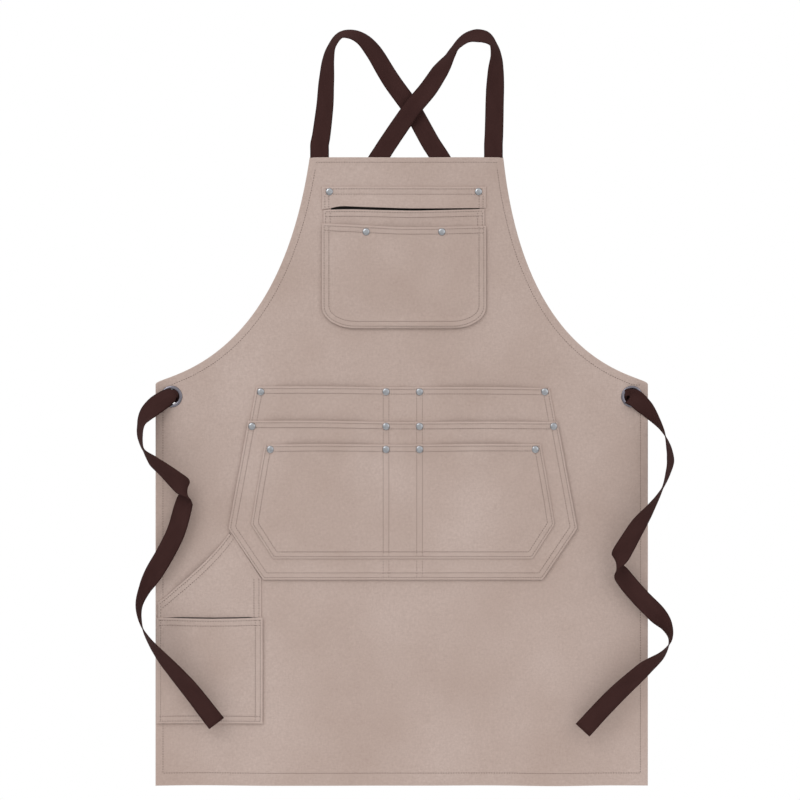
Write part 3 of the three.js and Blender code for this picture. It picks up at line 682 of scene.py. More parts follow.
@dataclass(frozen=True)
class Edges:
    """Sizes of the panel that its pockets and straps also follow, in millimetres."""

    half_width: float = 341.0
    bib_half: float = 134.3
    bib_top: float = -164.8
    corner: float = -479.2
    hem: float = -1035.2
    bib_lean: float = 6.6
    armhole_out: float = 37.8
    armhole_turn: float = 13.6
    cloth: float = 1.0
    gap: float = 0.3
    turned_in: float = 0.9  # what the turned hem adds to the cloth
    side_row: float = 10.4  # hem stitches, from the edge
    top_row: float = 7.0
    bottom_row: float = 17.5
    eyelet_x: float = 318.8
    eyelet_z: float = -496.2

    def lean(self, z: Array | float) -> Array:
        """How far the bib leans to +X at a height."""
        share = np.maximum(0.0, np.asarray(z, float) - self.corner) / (self.bib_top - self.corner)
        return self.bib_lean * share

    def right_side(self) -> Line:
        """The right side from the bib's top corner down to the hem, before the lean.

        Returns:
            The side's points, (x, z).
        """
        points = []
        for t in np.linspace(0, 1, 61):
            s = 1 - t
            weights = (s**3, 3 * s * s * t, 3 * s * t * t, t**3)
            xs = (self.bib_half, self.bib_half + self.armhole_out, self.half_width, self.half_width)
            zs = (self.bib_top, self.corner + self.armhole_turn, self.corner + self.armhole_turn, self.corner)
            points.append((sum(w * v for w, v in zip(weights, xs)), sum(w * v for w, v in zip(weights, zs))))
        return [*points, (self.half_width, self.hem)]

    def side(self, sign: int) -> Line:
        """One side as it hangs, from the top down; sign is 1 for the right and -1 for the left."""
        return [(sign * x + float(self.lean(z)), z) for x, z in self.right_side()]


EDGES = Edges()


@dataclass(frozen=True)
class Rivet:
    """One rivet: its name and its place, in millimetres."""

    name: str
    x: float
    z: float


def rivet_from_frame(name: str) -> Rivet:
    """A rivet at its node's place.

    Args:
        name: the rivet's name without its prefix.

    Returns:
        The rivet.
    """
    low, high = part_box(f"rivet_cap_{name}")
    return Rivet(name, (low.x + high.x) / 2 / MM, (low.z + high.z) / 2 / MM)


RIVETED = ("chest_flap", "chest_pocket") + tuple(
    f"waist_{layer}_{place}" for layer in ("back", "middle", "front") for place in ("outer", "divider")
)


class Stack:
    """Where the front face of each layer of cloth lies, as y in millimetres."""

    dividers = (-21.7, 24.7)
    fold_depth = 2.1
    wave_depth = 0.55
    strap_sag = 1.3
    armhole_curl = 2.6
    flat_by_eyelet = 38.0

    def __init__(self) -> None:
        """Reads the rivets' places."""
        names = [f"{name}_{side}" for name in RIVETED for side in ("left", "right")]
        self.rivets = {name: rivet_from_frame(name) for name in names}

    def held_down(self, x: Array, z: Array, starts: tuple[str, ...], reach: float = 13.0) -> Array:
        """How free a loose layer is near its rivets.

        Args:
            x: where it is read.
            z: where it is read.
            starts: how the names of its rivets start.
            reach: how far a rivet holds the cloth.

        Returns:
            0 at a rivet, 1 away from them all.
        """
        free = np.ones(np.broadcast(x, z).shape)
        for rivet in self.rivets.values():
            if rivet.name.startswith(starts):
                free = free * (1 - np.exp(-(((x - rivet.x) ** 2 + (z - rivet.z) ** 2) / reach**2)))
        return free

    def panel(self, x: Array, z: Array) -> Array:
        """The panel's front face: nearly flat, with soft folds that deepen towards the hem."""
        side = distance_to(EDGES.side(1), x, z)
        side = np.minimum(side, distance_to(EDGES.side(-1), x, z))
        low = ease(0.0, 1.0, (-560.0 - z) / 480.0)
        folds = ripples(x, z * 0.25, 4, 130, 330, 0.86) * self.fold_depth * low
        soft = ripples(x, z, 11, 90, 240) * self.wave_depth * ease(4, 60, side)
        top = EDGES.bib_top - z
        between_straps = (
            np.cos((x - EDGES.bib_lean) / 26.0)
            * self.strap_sag * np.exp(-np.maximum(top, 0) / 26.0)
        )
        bib = ease(EDGES.corner, EDGES.corner + 120, z)
        curl = self.armhole_curl * bib * np.exp(-side / 13.0)
        off_eyelet = (np.abs(x) - EDGES.eyelet_x) ** 2 + (z - EDGES.eyelet_z) ** 2
        at_eyelets = 1 - np.exp(-(off_eyelet / self.flat_by_eyelet**2))
        return -EDGES.cloth + (folds + soft + between_straps * bib + curl) * at_eyelets

    def loose(
        self, sewn: Array, mouth_drop: Array, height: float, low: float = 0.4, reach: float = 36.0
    ) -> Array:
        """How far a pocket's cloth stands off what it is sewn to.

        Args:
            sewn: distance from its inner row of stitches.
            mouth_drop: how far below its mouth.
            height: how far it stands off at most.
            low: its share of that well below the mouth.
            reach: how far from a seam it takes to rise.

        Returns:
            The gap behind the cloth.
        """
        rise = 1 - np.exp(-((np.maximum(sewn, 0.0) / reach) ** 2) * 2.2)
        return height * rise * (low + (1 - low) * np.exp(-np.maximum(mouth_drop, 0.0) / 55.0))


# ---------------------------------------------------------------- grids of cloth

RIM = (0.0, 0.18, 0.7, 2.2)
EDGE_ROUND = 0.7  # how far in from its edge a cloth reaches its full thickness
SEWN_LINE = (0.0, 2.4, 3.9, 5.4, 8.5)
SEAM_ROWS = (3.0, 9.6)  # a pocket's two rows of stitches, from its edge
STITCHED = 0.55  # what a pocket's turned edge adds to its cloth


def spread(stops: list[float], step: float, near: tuple[float, ...] = RIM) -> Array:
    """Levels through the given stops, close together beside the first and the last.

    Args:
        stops: levels that are always included, in order.
        step: widest spacing.
        near: distances from the first and last stop at which there is also a level.

    Returns:
        The levels.
    """
    sign = 1.0 if stops[-1] > stops[0] else -1.0
    start = [stops[0] + sign * n for n in near]
    end = [stops[-1] - sign * n for n in near][::-1]
    marks = [start[-1], *stops[1:-1], end[0]]
    levels: list[float] = start[:-1]
    for a, b in zip(marks, marks[1:]):
        count = max(1, math.ceil(abs(b - a) / step))
        levels += list(np.linspace(a, b, count, endpoint=False))
    return np.array(levels + end)


def columns(lines: Array, step: float, near: list[tuple[float, ...]]) -> Array:
    """The x of every column on every row of a cloth grid.

    Args:
        lines: x of the fixed lines on each row, one column each, left to right.
        step: widest spacing.
        near: for each fixed line, distances beside it at which there is also a column.

    Returns:
        The x of each grid point, rows by columns.
    """
    parts = []
    for k in range(lines.shape[1] - 1):
        start, end = lines[:, k : k + 1], lines[:, k + 1 : k + 2]
        width = end - start
        left, right = np.array(near[k]), np.array(near[k + 1])[::-1]
        squeeze = np.minimum(1.0, width / (2.6 * (left[-1] + right[0])))
        first, last = start + left * squeeze, end - right * squeeze
        count = max(2, math.ceil(float((last[:, :1] - first[:, -1:]).max()) / step))
        inner = np.linspace(0, 1, count + 1)[1:-1]
        block = np.hstack([first, first[:, -1:] + (last[:, :1] - first[:, -1:]) * inner, last])
        parts.append(block if k == 0 else block[:, 1:])
    return np.hstack(parts)


def side_at(line: Line, z: Array) -> Array:
    """x of a side at given heights.

    Args:
        line: the side's points from the top down, (x, z).
        z: the heights.

    Returns:
        The side's x at each height.
    """
    points = sorted(line, key=lambda point: point[1])
    return np.interp(z, [p[1] for p in points], [p[0] for p in points])


def cloth_object(name: str, x: Array, z: Array, front: Array, thick: Array) -> bpy.types.Object:
    """A closed sheet of cloth over a grid, with round edges.

    Args:
        name: the piece's name.
        x: x of the grid points, rows by columns.
        z: their z.
        front: y of the front face.
        thick: thickness there.

    Returns:
        The new object.
    """
    rows, cols = x.shape
    inside = np.minimum(np.minimum(x - x[:, :1], x[:, -1:] - x), np.minimum(z[:1] - z, z - z[-1:]))
    full = np.sqrt(np.clip(1 - (1 - np.clip(inside / EDGE_ROUND, 0, 1)) ** 2, 0, 1))
    middle = front + thick / 2
    ahead = np.stack([x, middle - thick / 2 * full, z], axis=-1).reshape(-1, 3)
    behind = np.stack([x, middle + thick / 2 * full, z], axis=-1)[1:-1, 1:-1].reshape(-1, 3)
    fore = np.arange(rows * cols).reshape(rows, cols)
    aft = fore.copy()
    aft[1:-1, 1:-1] = rows * cols + np.arange((rows - 2) * (cols - 2)).reshape(rows - 2, cols - 2)
    faces = []
    for i in range(rows - 1):
        for j in range(cols - 1):
            faces.append((int(fore[i, j]), int(fore[i + 1, j]), int(fore[i + 1, j + 1]), int(fore[i, j + 1])))
            faces.append((int(aft[i, j]), int(aft[i, j + 1]), int(aft[i + 1, j + 1]), int(aft[i + 1, j])))
    return mesh_object(name, np.vstack([ahead, behind]), faces)


def with_back(values: Array) -> Array:
    """The numbers of a grid's front points followed by those of its back points."""
    return np.concatenate([values.ravel(), values[1:-1, 1:-1].ravel()])


# ---------------------------------------------------------------- stitches


@dataclass
class Stitching:
    """Rows of real stitches that lie on a cloth's front face."""

    pitch: float = 3.5
    length: float = 1.9
    width: float = 0.8
    lift: float = 0.12
    sides: int = 5
    points: list[Array] = field(default_factory=list)

    def along(self, line: Line, face: Surface, out: float = -1.0) -> None:
        """Adds a row of stitches.

        Args:
            line: where the row runs, (x, z).
            face: gives y of the cloth at x, z.
            out: -1 for stitches on a front face, 1 for stitches on a back face.
        """
        corners = np.array(line, float)
        reach = np.concatenate([[0], np.cumsum(np.hypot(*np.diff(corners, axis=0).T))])
        count = int(reach[-1] / self.pitch)
        if count < 1:
            return
        at = (np.arange(count) + 0.5) * reach[-1] / count
        ends = []
        for offset in (-self.length / 2, self.length / 2):
            x = np.interp(at + offset, reach, corners[:, 0])
            z = np.interp(at + offset, reach, corners[:, 1])
            ends.append(np.stack([x, face(x, z) + out * self.lift, z], axis=-1))
        first, second = ends
        middle, run = (first + second) / 2, (second - first) / 2
        run_unit = run / np.linalg.norm(run, axis=1, keepdims=True)
        side = np.cross(run_unit, (0.0, out, 0.0))
        side = side / np.linalg.norm(side, axis=1, keepdims=True)
        up = np.cross(side, run_unit)
        rings = [(-1.0, 0.0), (-0.72, 0.8), (0.0, 1.0), (0.72, 0.8), (1.0, 0.0)]
        shape = []
        for place, size in rings:
            turns = [0.0] if size == 0 else [k * 2 * math.pi / self.sides for k in range(self.sides)]
            for turn in turns:
                shape.append(
                    middle + run * place
                    + side * (math.cos(turn) * size * self.width / 2)
                    + up * (math.sin(turn) * size * self.width * 0.36)
                )
        self.points.append(np.stack(shape, axis=1))

    def build(self, name: str, finish: bpy.types.Material) -> None:
        """Makes the stitches one piece, on the panel's body.

        Args:
            name: the piece's name.
            finish: the thread's material.
        """
        n = self.sides
        around = [(k, (k + 1) % n) for k in range(n)]
        last = 1 + 3 * n
        single = [(0, 1 + b, 1 + a) for a, b in around]
        for ring in (1, 1 + n):
            single += [(ring + a, ring + b, ring + n + b, ring + n + a) for a, b in around]
        single += [(last, last - n + a, last - n + b) for a, b in around]
        stitches = np.vstack(self.points)
        faces = [
            tuple(index + (last + 1) * s for index in face) for s in range(len(stitches)) for face in single
        ]
        obj = mesh_object(name, stitches.reshape(-1, 3), faces)
        obj.data.flip_normals()
        place_piece(obj, PANEL_BODY, (), finish)


def offset_line(line: Line, distance: float, inner: Line) -> Line:
    """A line moved sideways towards the inside of a closed outline.

    Args:
        line: its points.
        distance: how far.
        inner: a point list whose middle is inside.

    Returns:
        The moved line.
    """
    middle = np.mean(np.array(inner), axis=0)
    points = np.array(line, float)
    legs = np.diff(points, axis=0)
    legs = legs / np.maximum(np.linalg.norm(legs, axis=1, keepdims=True), 1e-9)
    normals = np.stack([-legs[:, 1], legs[:, 0]], axis=1)
    mean_gap = np.mean(np.sum(normals * (middle - (points[:-1] + points[1:]) / 2), axis=1))
    normals = normals * (1 if mean_gap > 0 else -1)
    moved = []
    for i in range(len(points)):
        before = normals[max(i - 1, 0)]
        after = normals[min(i, len(normals) - 1)]
        bisector = before + after
        bisector = bisector / max(np.linalg.norm(bisector), 1e-9)
        moved.append(points[i] + bisector * distance / max(float(bisector @ after), 0.35))
    return [(float(a), float(b)) for a, b in moved]


# ---------------------------------------------------------------- panel


@dataclass
class Panel:
    """The panel of canvas with its turned hem."""

    stack: Stack
    finishes: Finishes
    side_hem: float = 11.0
    top_hem: float = 8.0
    bottom_hem: float = 18.5
    barrel: float = 11.3

    def build(self) -> None:
        """Builds the panel and its hem stitches."""
        e = EDGES
        levels = np.concatenate([
            spread([e.bib_top, -430.0], 5.5, RIM),
            np.arange(-432.5, -478.5, -1.6),
            spread([e.corner, e.hem], 7.0, RIM),
        ])
        z = levels[:, None]
        lines = np.hstack([side_at(e.side(-1), levels)[:, None], side_at(e.side(1), levels)[:, None]])
        x = columns(lines, 5.6, [RIM, RIM])
        z = z + np.zeros_like(x)
        sides = np.minimum(distance_to(e.side(1), x, z), distance_to(e.side(-1), x, z))
        top, bottom = e.bib_top - z, z - e.hem
        inside_hem = np.minimum(sides / self.side_hem, top / self.top_hem)
        inside_hem = np.minimum(inside_hem, bottom / self.bottom_hem)
        thick = e.cloth + e.turned_in * (1 - ease(0.93, 1.08, inside_hem))
        front = self.stack.panel(x, z)
        obj = cloth_object("panel_cloth", x, z, front, thick)
        stitched = np.minimum(sides, top * e.side_row / e.top_row)
        stitched = np.minimum(stitched, bottom * e.side_row / e.bottom_row)
        note_on(obj, "edge_distance", with_back(stitched))
        self.punch(obj)
        place_piece(obj, PANEL_BODY, ("main_panel",), self.finishes.panel)
        outline = [*e.side(1), *e.side(-1)[::-1]]
        area_of(outline)
        self.stitch()

    def punch(self, obj: bpy.types.Object) -> None:
        """Cuts the two eyelet holes."""
        for x in (-EDGES.eyelet_x, EDGES.eyelet_x):
            punch = round_primitive(
                bpy.ops.mesh.primitive_cylinder_add, (x * MM, 0, EDGES.eyelet_z * MM),
                vertices=48, radius=self.barrel * MM, depth=0.02,
            )
            applied(obj, "BOOLEAN", operation="DIFFERENCE", object=punch, solver="EXACT")
            bpy.data.objects.remove(punch, do_unlink=True)
        deselect_all()

    def stitch(self) -> None:
        """Sews the hem, with stitches on both faces."""
        e = EDGES
        rows = Stitching()
        bottom = e.hem + e.bottom_row
        lines = []
        for sign in (-1, 1):
            below_eyelet = sign * (e.half_width - e.side_row)
            edge = [*e.side(sign)[:-1], (sign * e.half_width, bottom)]
            side = offset_line(edge, e.side_row, [(0.0, -700.0)])
            lines.append([(x, z) for x, z in side if e.eyelet_z + 16 < z < e.bib_top - 5])
            lines.append([(below_eyelet, e.eyelet_z - 17), (below_eyelet, bottom)])
        for middle, half, z in (
            (0.0, e.half_width - e.side_row, bottom),
            (e.bib_lean, e.bib_half - 8.0, e.bib_top - e.top_row),
        ):
            lines.append([(middle - half, z), (middle + half, z)])
        for line in lines:
            rows.along(line, self.stack.panel)
            rows.along(line, lambda x, z: self.stack.panel(x, z) + (e.cloth + e.turned_in), out=1.0)
        rows.build("panel_stitches", self.finishes.thread)


# ---------------------------------------------------------------- pockets


class Layer(Enum):
    """Which layer a pocket's cloth is, and the node that it stands for."""

    FLAP = "chest_flap"
    CHEST_BACK = "chest_back_pocket"
    CHEST_FRONT = "chest_front_pocket"
    WAIST_BACK = "waist_back_pocket"
    WAIST_MIDDLE = "waist_middle_pocket"
    WAIST_FRONT = "waist_front_pocket"
    HIP_SLANTED = "hip_slanted_pocket"
    HIP_LOWER = "hip_lower_pocket"


@dataclass
class Pocket:
    """One cloth pocket front: its sides from the mouth down, what it lies on and how loose it is."""

    layer: Layer
    left: Line
    right: Line
    under: Surface
    stack: Stack
    loose: float = 3.2
    pins: tuple[float, ...] = ()
    rivets: tuple[str, ...] = ()
    mouth_curve: tuple[tuple[float, float], ...] = ()
    open_below: bool = False
    low: float = 0.4
    reach: float = 36.0
    seed: int = 1
    hem: float = 11.2

    def __post_init__(self) -> None:
        """Works out the sewn line and the mouth."""
        self.mouth = max(self.left[0][1], self.right[0][1])
        self.bottom = self.left[-1][1]
        if self.open_below:
            self.sewn_line = [self.left[-1], self.left[0], self.right[0], self.right[-1]]
        else:
            self.sewn_line = [*self.left, *self.right[::-1]]
        self.outline = [*self.left, *self.right[::-1]]

    def mouth_shift(self, x: Array) -> Array:
        """How far the open edge is above its straight line."""
        if not self.mouth_curve:
            return np.zeros(np.shape(x))
        xs, shifts = zip(*self.mouth_curve)
        fine = np.linspace(xs[0], xs[-1], 80)
        smooth = np.interp(fine, xs, shifts)
        kernel = np.hanning(15) / np.hanning(15).sum()
        padded = np.pad(smooth, 7, mode="edge")
        return np.interp(x, fine, np.convolve(padded, kernel, mode="valid"))

    def thickness(self, x: Array, z: Array) -> Array:
        """The cloth, doubled where its edge is turned in."""
        return EDGES.cloth + STITCHED * (1 - ease(self.hem - 0.8, self.hem + 0.9, self.edge(x, z)))

    def edge(self, x: Array, z: Array) -> Array:
        """Distance to the outline, with its curved mouth."""
        if self.open_below:
            open_edge = z - (self.bottom + self.mouth_shift(x))
        else:
            open_edge = self.level_drop(x, z)
        return np.minimum(distance_to(self.sewn_line, x, z), np.abs(open_edge))

    def level_drop(self, x: Array, z: Array) -> Array:
        """How far a point is below the mouth."""
        slope = (self.right[0][1] - self.left[0][1]) / (self.right[0][0] - self.left[0][0])
        return self.left[0][1] + slope * (x - self.left[0][0]) + self.mouth_shift(x) - z

    def free(self, x: Array, z: Array) -> Array:
        """How loose the cloth is, from 0 at its seams and rivets to 1."""
        sewn = distance_to(self.sewn_line, x, z) - SEAM_ROWS[1]
        for pin in self.pins:
            sewn = np.minimum(sewn, np.abs(x - pin) - 4.6)
        drop = z - self.bottom if self.open_below else self.level_drop(x, z)
        share = self.stack.loose(sewn, drop, 1.0, self.low, self.reach)
        if self.rivets:
            share = share * self.stack.held_down(x, z, self.rivets)
        return share

    def face(self, x: Array, z: Array) -> Array:
        """y of the cloth's front face."""
        free = self.free(x, z)
        waves = ripples(x, z, self.seed, 38, 110) * 0.6 + ripples(x, z, self.seed + 50, 16, 34) * 0.07
        stands = self.loose * free + waves * np.sqrt(free)
        return self.under(x, z) - EDGES.gap - self.thickness(x, z) - np.maximum(stands, 0.0)

    def grid(self) -> tuple[Array, Array]:
        """The points of the cloth's grid.

        Returns:
            x and z of the points, rows by columns.
        """
        stops = sorted({round(z, 3) for _, z in [*self.left, *self.right]}, reverse=True)
        levels = spread(stops, 4.6, RIM)
        pins = [np.full(levels.shape, pin) for pin in self.pins]
        fixed = [side_at(self.left, levels), *pins, side_at(self.right, levels)]
        x = columns(np.stack(fixed, axis=1), 4.6, [RIM, *([SEWN_LINE] * len(pins)), RIM])
        z = levels[:, None] + np.zeros_like(x)
        if self.open_below:
            fade = 1 - ease(0.0, 16.0, z - self.bottom)
        else:
            fade = 1 - ease(0.0, 46.0, self.mouth - z)
        return x, z + self.mouth_shift(x) * fade

    def build(self, finish: bpy.types.Material, name: str) -> None:
        """Makes the pocket front.

        Args:
            finish: its material.
            name: the piece's name.
        """
        x, z = self.grid()
        obj = cloth_object(name, x, z, self.face(x, z), self.thickness(x, z))
        note_on(obj, "edge_distance", with_back(self.edge(x, z)))
        place_piece(obj, PANEL_BODY, (self.layer.value,), finish)
        xs, zs = [p[0] for p in self.outline], [p[1] for p in self.outline]
        flat = ((max(xs) - min(xs)) * MM, (max(zs) - min(zs)) * MM)
        area_of(self.outline)

    def mouth_line(self, drop: float, margin: float = 3.0) -> Line:
        """A line below the mouth, or above the open lower edge.

        Args:
            drop: how far from the edge.
            margin: how far from the sides it stops.

        Returns:
            The line's points.
        """
        first, last = (self.left[-1], self.right[-1]) if self.open_below else (self.left[0], self.right[0])
        xs = np.linspace(first[0] + margin, last[0] - margin, 60)
        zs = np.interp(xs, [first[0], last[0]], [first[1], last[1]]) + self.mouth_shift(xs)
        return [(float(x), float(z + (drop if self.open_below else -drop))) for x, z in zip(xs, zs)]

    def stitch(
        self, rows: Stitching, hidden_below: float | None = None, double: tuple[float, ...] = SEAM_ROWS
    ) -> None:
        """Sews the pocket on, and hems its mouth.

        Args:
            rows: where the stitches are added.
            hidden_below: no stitches below this height, where another layer covers them.
            double: the rows' distances from the edge.
        """
        for distance in double:
            rows.along(self.mouth_line(distance), self.face)
            sewn = offset_line(self.sewn_line, distance, [tuple(np.mean(self.outline, axis=0))])
            if hidden_below is None:
                rows.along(sewn, self.face)
                continue
            half = len(self.left)
            for side in (sewn[:half], sewn[half:][::-1]):
                x = float(np.interp(-hidden_below, [-p[1] for p in side], [p[0] for p in side]))
                seen = [p for p in side[1:] if p[1] > hidden_below]
                rows.along([side[0], *seen, (x, hidden_below)], self.face)


def mirrored(line: Line, middle: float) -> Line:
    """A side's points on the other side of an upright middle line."""
    return [(2 * middle - x, z) for x, z in line]


def rounded_side(half: float, top: float, bottom: float, across: float, up: float, middle: float) -> Line:
    """The left side of a pocket with rounded lower corners.

    Args:
        half: half its width.
        top: its mouth.
        bottom: its lowest edge.
        across: the rounding's size along the bottom edge.
        up: the rounding's size along the side.
        middle: the pocket's middle.

    Returns:
        The side's points from the top down.
    """
    turn = [k / 10 * math.pi / 2 for k in range(11)]
    arc = [(-half + across * (1 - math.cos(a)), bottom + up * (1 - math.sin(a))) for a in turn]
    return [(middle + x, z) for x, z in [(-half, top), *arc]]


@dataclass(frozen=True)
class PaintedShadowStrip:
    """A thin near-black strip behind a gaping mouth: painted shadow, a dark sheet put where the gap has only
    shade.
    """

    name: str
    finish: Canvas
    thick: float = 0.3
    stand_off: float = 0.32
    from_edge: float = 40.0

    def build(self, x: Array, z: Array, behind: Surface) -> bpy.types.Object:
        """Makes the strip.

        Args:
            x: x of its grid, rows by columns.
            z: z of its grid.
            behind: the cloth that it lies on.

        Returns:
            The piece.
        """
        front = behind(x, z) - self.stand_off
        obj = cloth_object(self.name, x, z, front, np.full(x.shape, self.thick))
        note_on(obj, "edge_distance", with_back(np.full(x.shape, self.from_edge)))
        place_piece(obj, PANEL_BODY, (), self.finish.make())
        return obj


@dataclass
class ChestPockets:
    """The flap, the slit below it, and the two pockets that share a bottom edge."""

    stack: Stack
    finishes: Finishes
    middle: float = 3.1
    half: float = 113.6
    flap_top: float = -205.7
    flap_edge: float = -235.5
    back_mouth: float = -240.8
    front_mouth: float = -260.4
    bottom: float = -402.0
    slit: tuple[float, float] = (-98.0, 108.0)
    shadow_strip_levels: tuple[float, float] = (-226.0, -246.0)

    def build(self) -> dict[str, Pocket]:
        """Builds the group.

        Returns:
            The cloth that carries rivets, by the rivets' name.
        """
        m, half, panel = self.middle, self.half, self.stack.panel
        flap = Pocket(
            Layer.FLAP, [(m - half, self.flap_top), (m - half, self.flap_edge)],
            [(m + half, self.flap_top), (m + half, self.flap_edge)], panel, self.stack,
            loose=2.6, rivets=("chest_flap",), open_below=True, low=0.1, reach=11.0, seed=21,
            mouth_curve=(
                (-111, -1.8), (-98, -1.6), (-92, 3.2), (-60, 1.6), (10, -0.6), (60, -0.4), (116, 0.2)
            ),
        )
        side = rounded_side(half - 2, self.back_mouth, self.bottom + 2, 45, 28, m)
        back = Pocket(
            Layer.CHEST_BACK, side, mirrored(side, m), panel, self.stack, loose=2.6, seed=23, low=0.25,
            mouth_curve=((-109, 3.0), (-98, 3.2), (-92, 3.6), (-60, 3.3), (10, 1.6), (60, 2.6), (116, 4.4)),
        )
        side = rounded_side(half, self.front_mouth, self.bottom, 47, 30, m)
        front = Pocket(
            Layer.CHEST_FRONT, side, mirrored(side, m), back.face, self.stack,
            loose=3.2, rivets=("chest_pocket",), seed=27,
            mouth_curve=((-111, 3.8), (-50, 0.6), (0, -2.0), (50, -1.6), (116, 0.2)),
        )
        for pocket, place in ((flap, "flap"), (back, "back"), (front, "front")):
            pocket.build(self.finishes.canvas, f"chest_{place}_cloth")
        self.paint_slit_shadow()
        rows = Stitching()
        for below in (3.2, 10.5):
            z = self.flap_top - below
            rows.along([(m - half + 4, z), (m + half - 4, z)], flap.face)
        for sign in (-1, 1):
            for inward in (4.2, 9.6):
                x = m + sign * (half - inward)
                rows.along([(x, self.flap_top - 12), (x, self.flap_edge)], flap.face)
        back.stitch(rows, hidden_below=self.front_mouth)
        front.stitch(rows, double=(3.2, 9.8))
        rows.build("chest_stitches", self.finishes.thread)
        return {"chest_flap": flap, "chest_pocket": front, "chest_behind": back}

    def paint_slit_shadow(self) -> None:
        """Adds painted shadow: a near-black strip behind the slit that stands in for the shade in the gap."""
        # painted shadow: near-black canvas colours for the strip behind the slit
        dark = Canvas("slit_painted_shadow", (0.013, 0.010, 0.009), (0.020, 0.016, 0.015), (0.008, 0.006, 0.006))
        x = columns(np.array([self.slit] * 2), 6.0, [RIM, RIM])[0]
        grid_x, grid_z = np.meshgrid(x, spread(list(self.shadow_strip_levels), 2.0, RIM))
        obj = PaintedShadowStrip("chest_slit_painted_shadow", dark).build(grid_x, grid_z, self.stack.panel)


@dataclass
class WaistPockets:
    """Three pockets, each sewn over the last, with two stitched dividers through them all."""

    stack: Stack
    finishes: Finishes
    middle: float = 1.5
    divider_half: float = 3.9

    def build(self) -> dict[str, Pocket]:
        """Builds the group.

        Returns:
            The cloth that carries rivets, by the rivets' name.
        """
        m, pins = self.middle, self.stack.dividers
        cloths, under = [], self.stack.panel
        for name, layer, side, loose, seed, curve in (
            (
                "waist_back", Layer.WAIST_BACK,
                [(-201.4, -482.7), (-210.6, -532.5), (-224.5, -606.0), (-237.6, -678.4), (-190.4, -747.6)],
                3.2, 31, ((-200, 0.5), (-110, 0.6), (-22, -0.6), (25, -0.4), (110, -0.3), (203, -1.6)),
            ),
            (
                "waist_middle", Layer.WAIST_MIDDLE,
                [(-212.5, -530.5), (-226.5, -606.0), (-239.9, -678.5), (-191.8, -749.7)],
                2.9, 37, ((-212, 0.9), (-110, 1.0), (-22, -0.8), (25, -1.0), (110, -0.2), (215, -0.9)),
            ),
            (
                "waist_front", Layer.WAIST_FRONT,
                [(-189.6, -562.3), (-199.5, -618.0), (-208.5, -672.7), (-177.9, -720.5)],
                2.7, 43, ((-189, -0.4), (-110, 0.7), (-22, -0.4), (25, -0.4), (110, 0.8), (192, 0.4)),
            ),
        ):
            cloth = Pocket(
                layer, side, mirrored(side, m), under, self.stack,
                loose=loose, pins=pins, rivets=(name,), seed=seed, mouth_curve=curve,
            )
            cloth.build(self.finishes.canvas, f"{name}_cloth")
            cloths.append(cloth)
            under = cloth.face
        back, middle, front = cloths
        rows = Stitching()
        back.stitch(rows, hidden_below=middle.mouth)
        middle.stitch(rows)
        front.stitch(rows)
        for pin in pins:
            for x in (pin - self.divider_half, pin + self.divider_half):
                rows.along([(x, -486.0), (x, middle.mouth)], back.face)
                rows.along([(x, middle.mouth - 3), (x, front.mouth)], middle.face)
                rows.along([(x, front.mouth - 3), (x, front.bottom + 3)], front.face)
                rows.along([(x, front.bottom - 2), (x, middle.bottom + 3)], middle.face)
        rows.build("waist_stitches", self.finishes.thread)
        return {"waist_back": back, "waist_middle": middle, "waist_front": front}


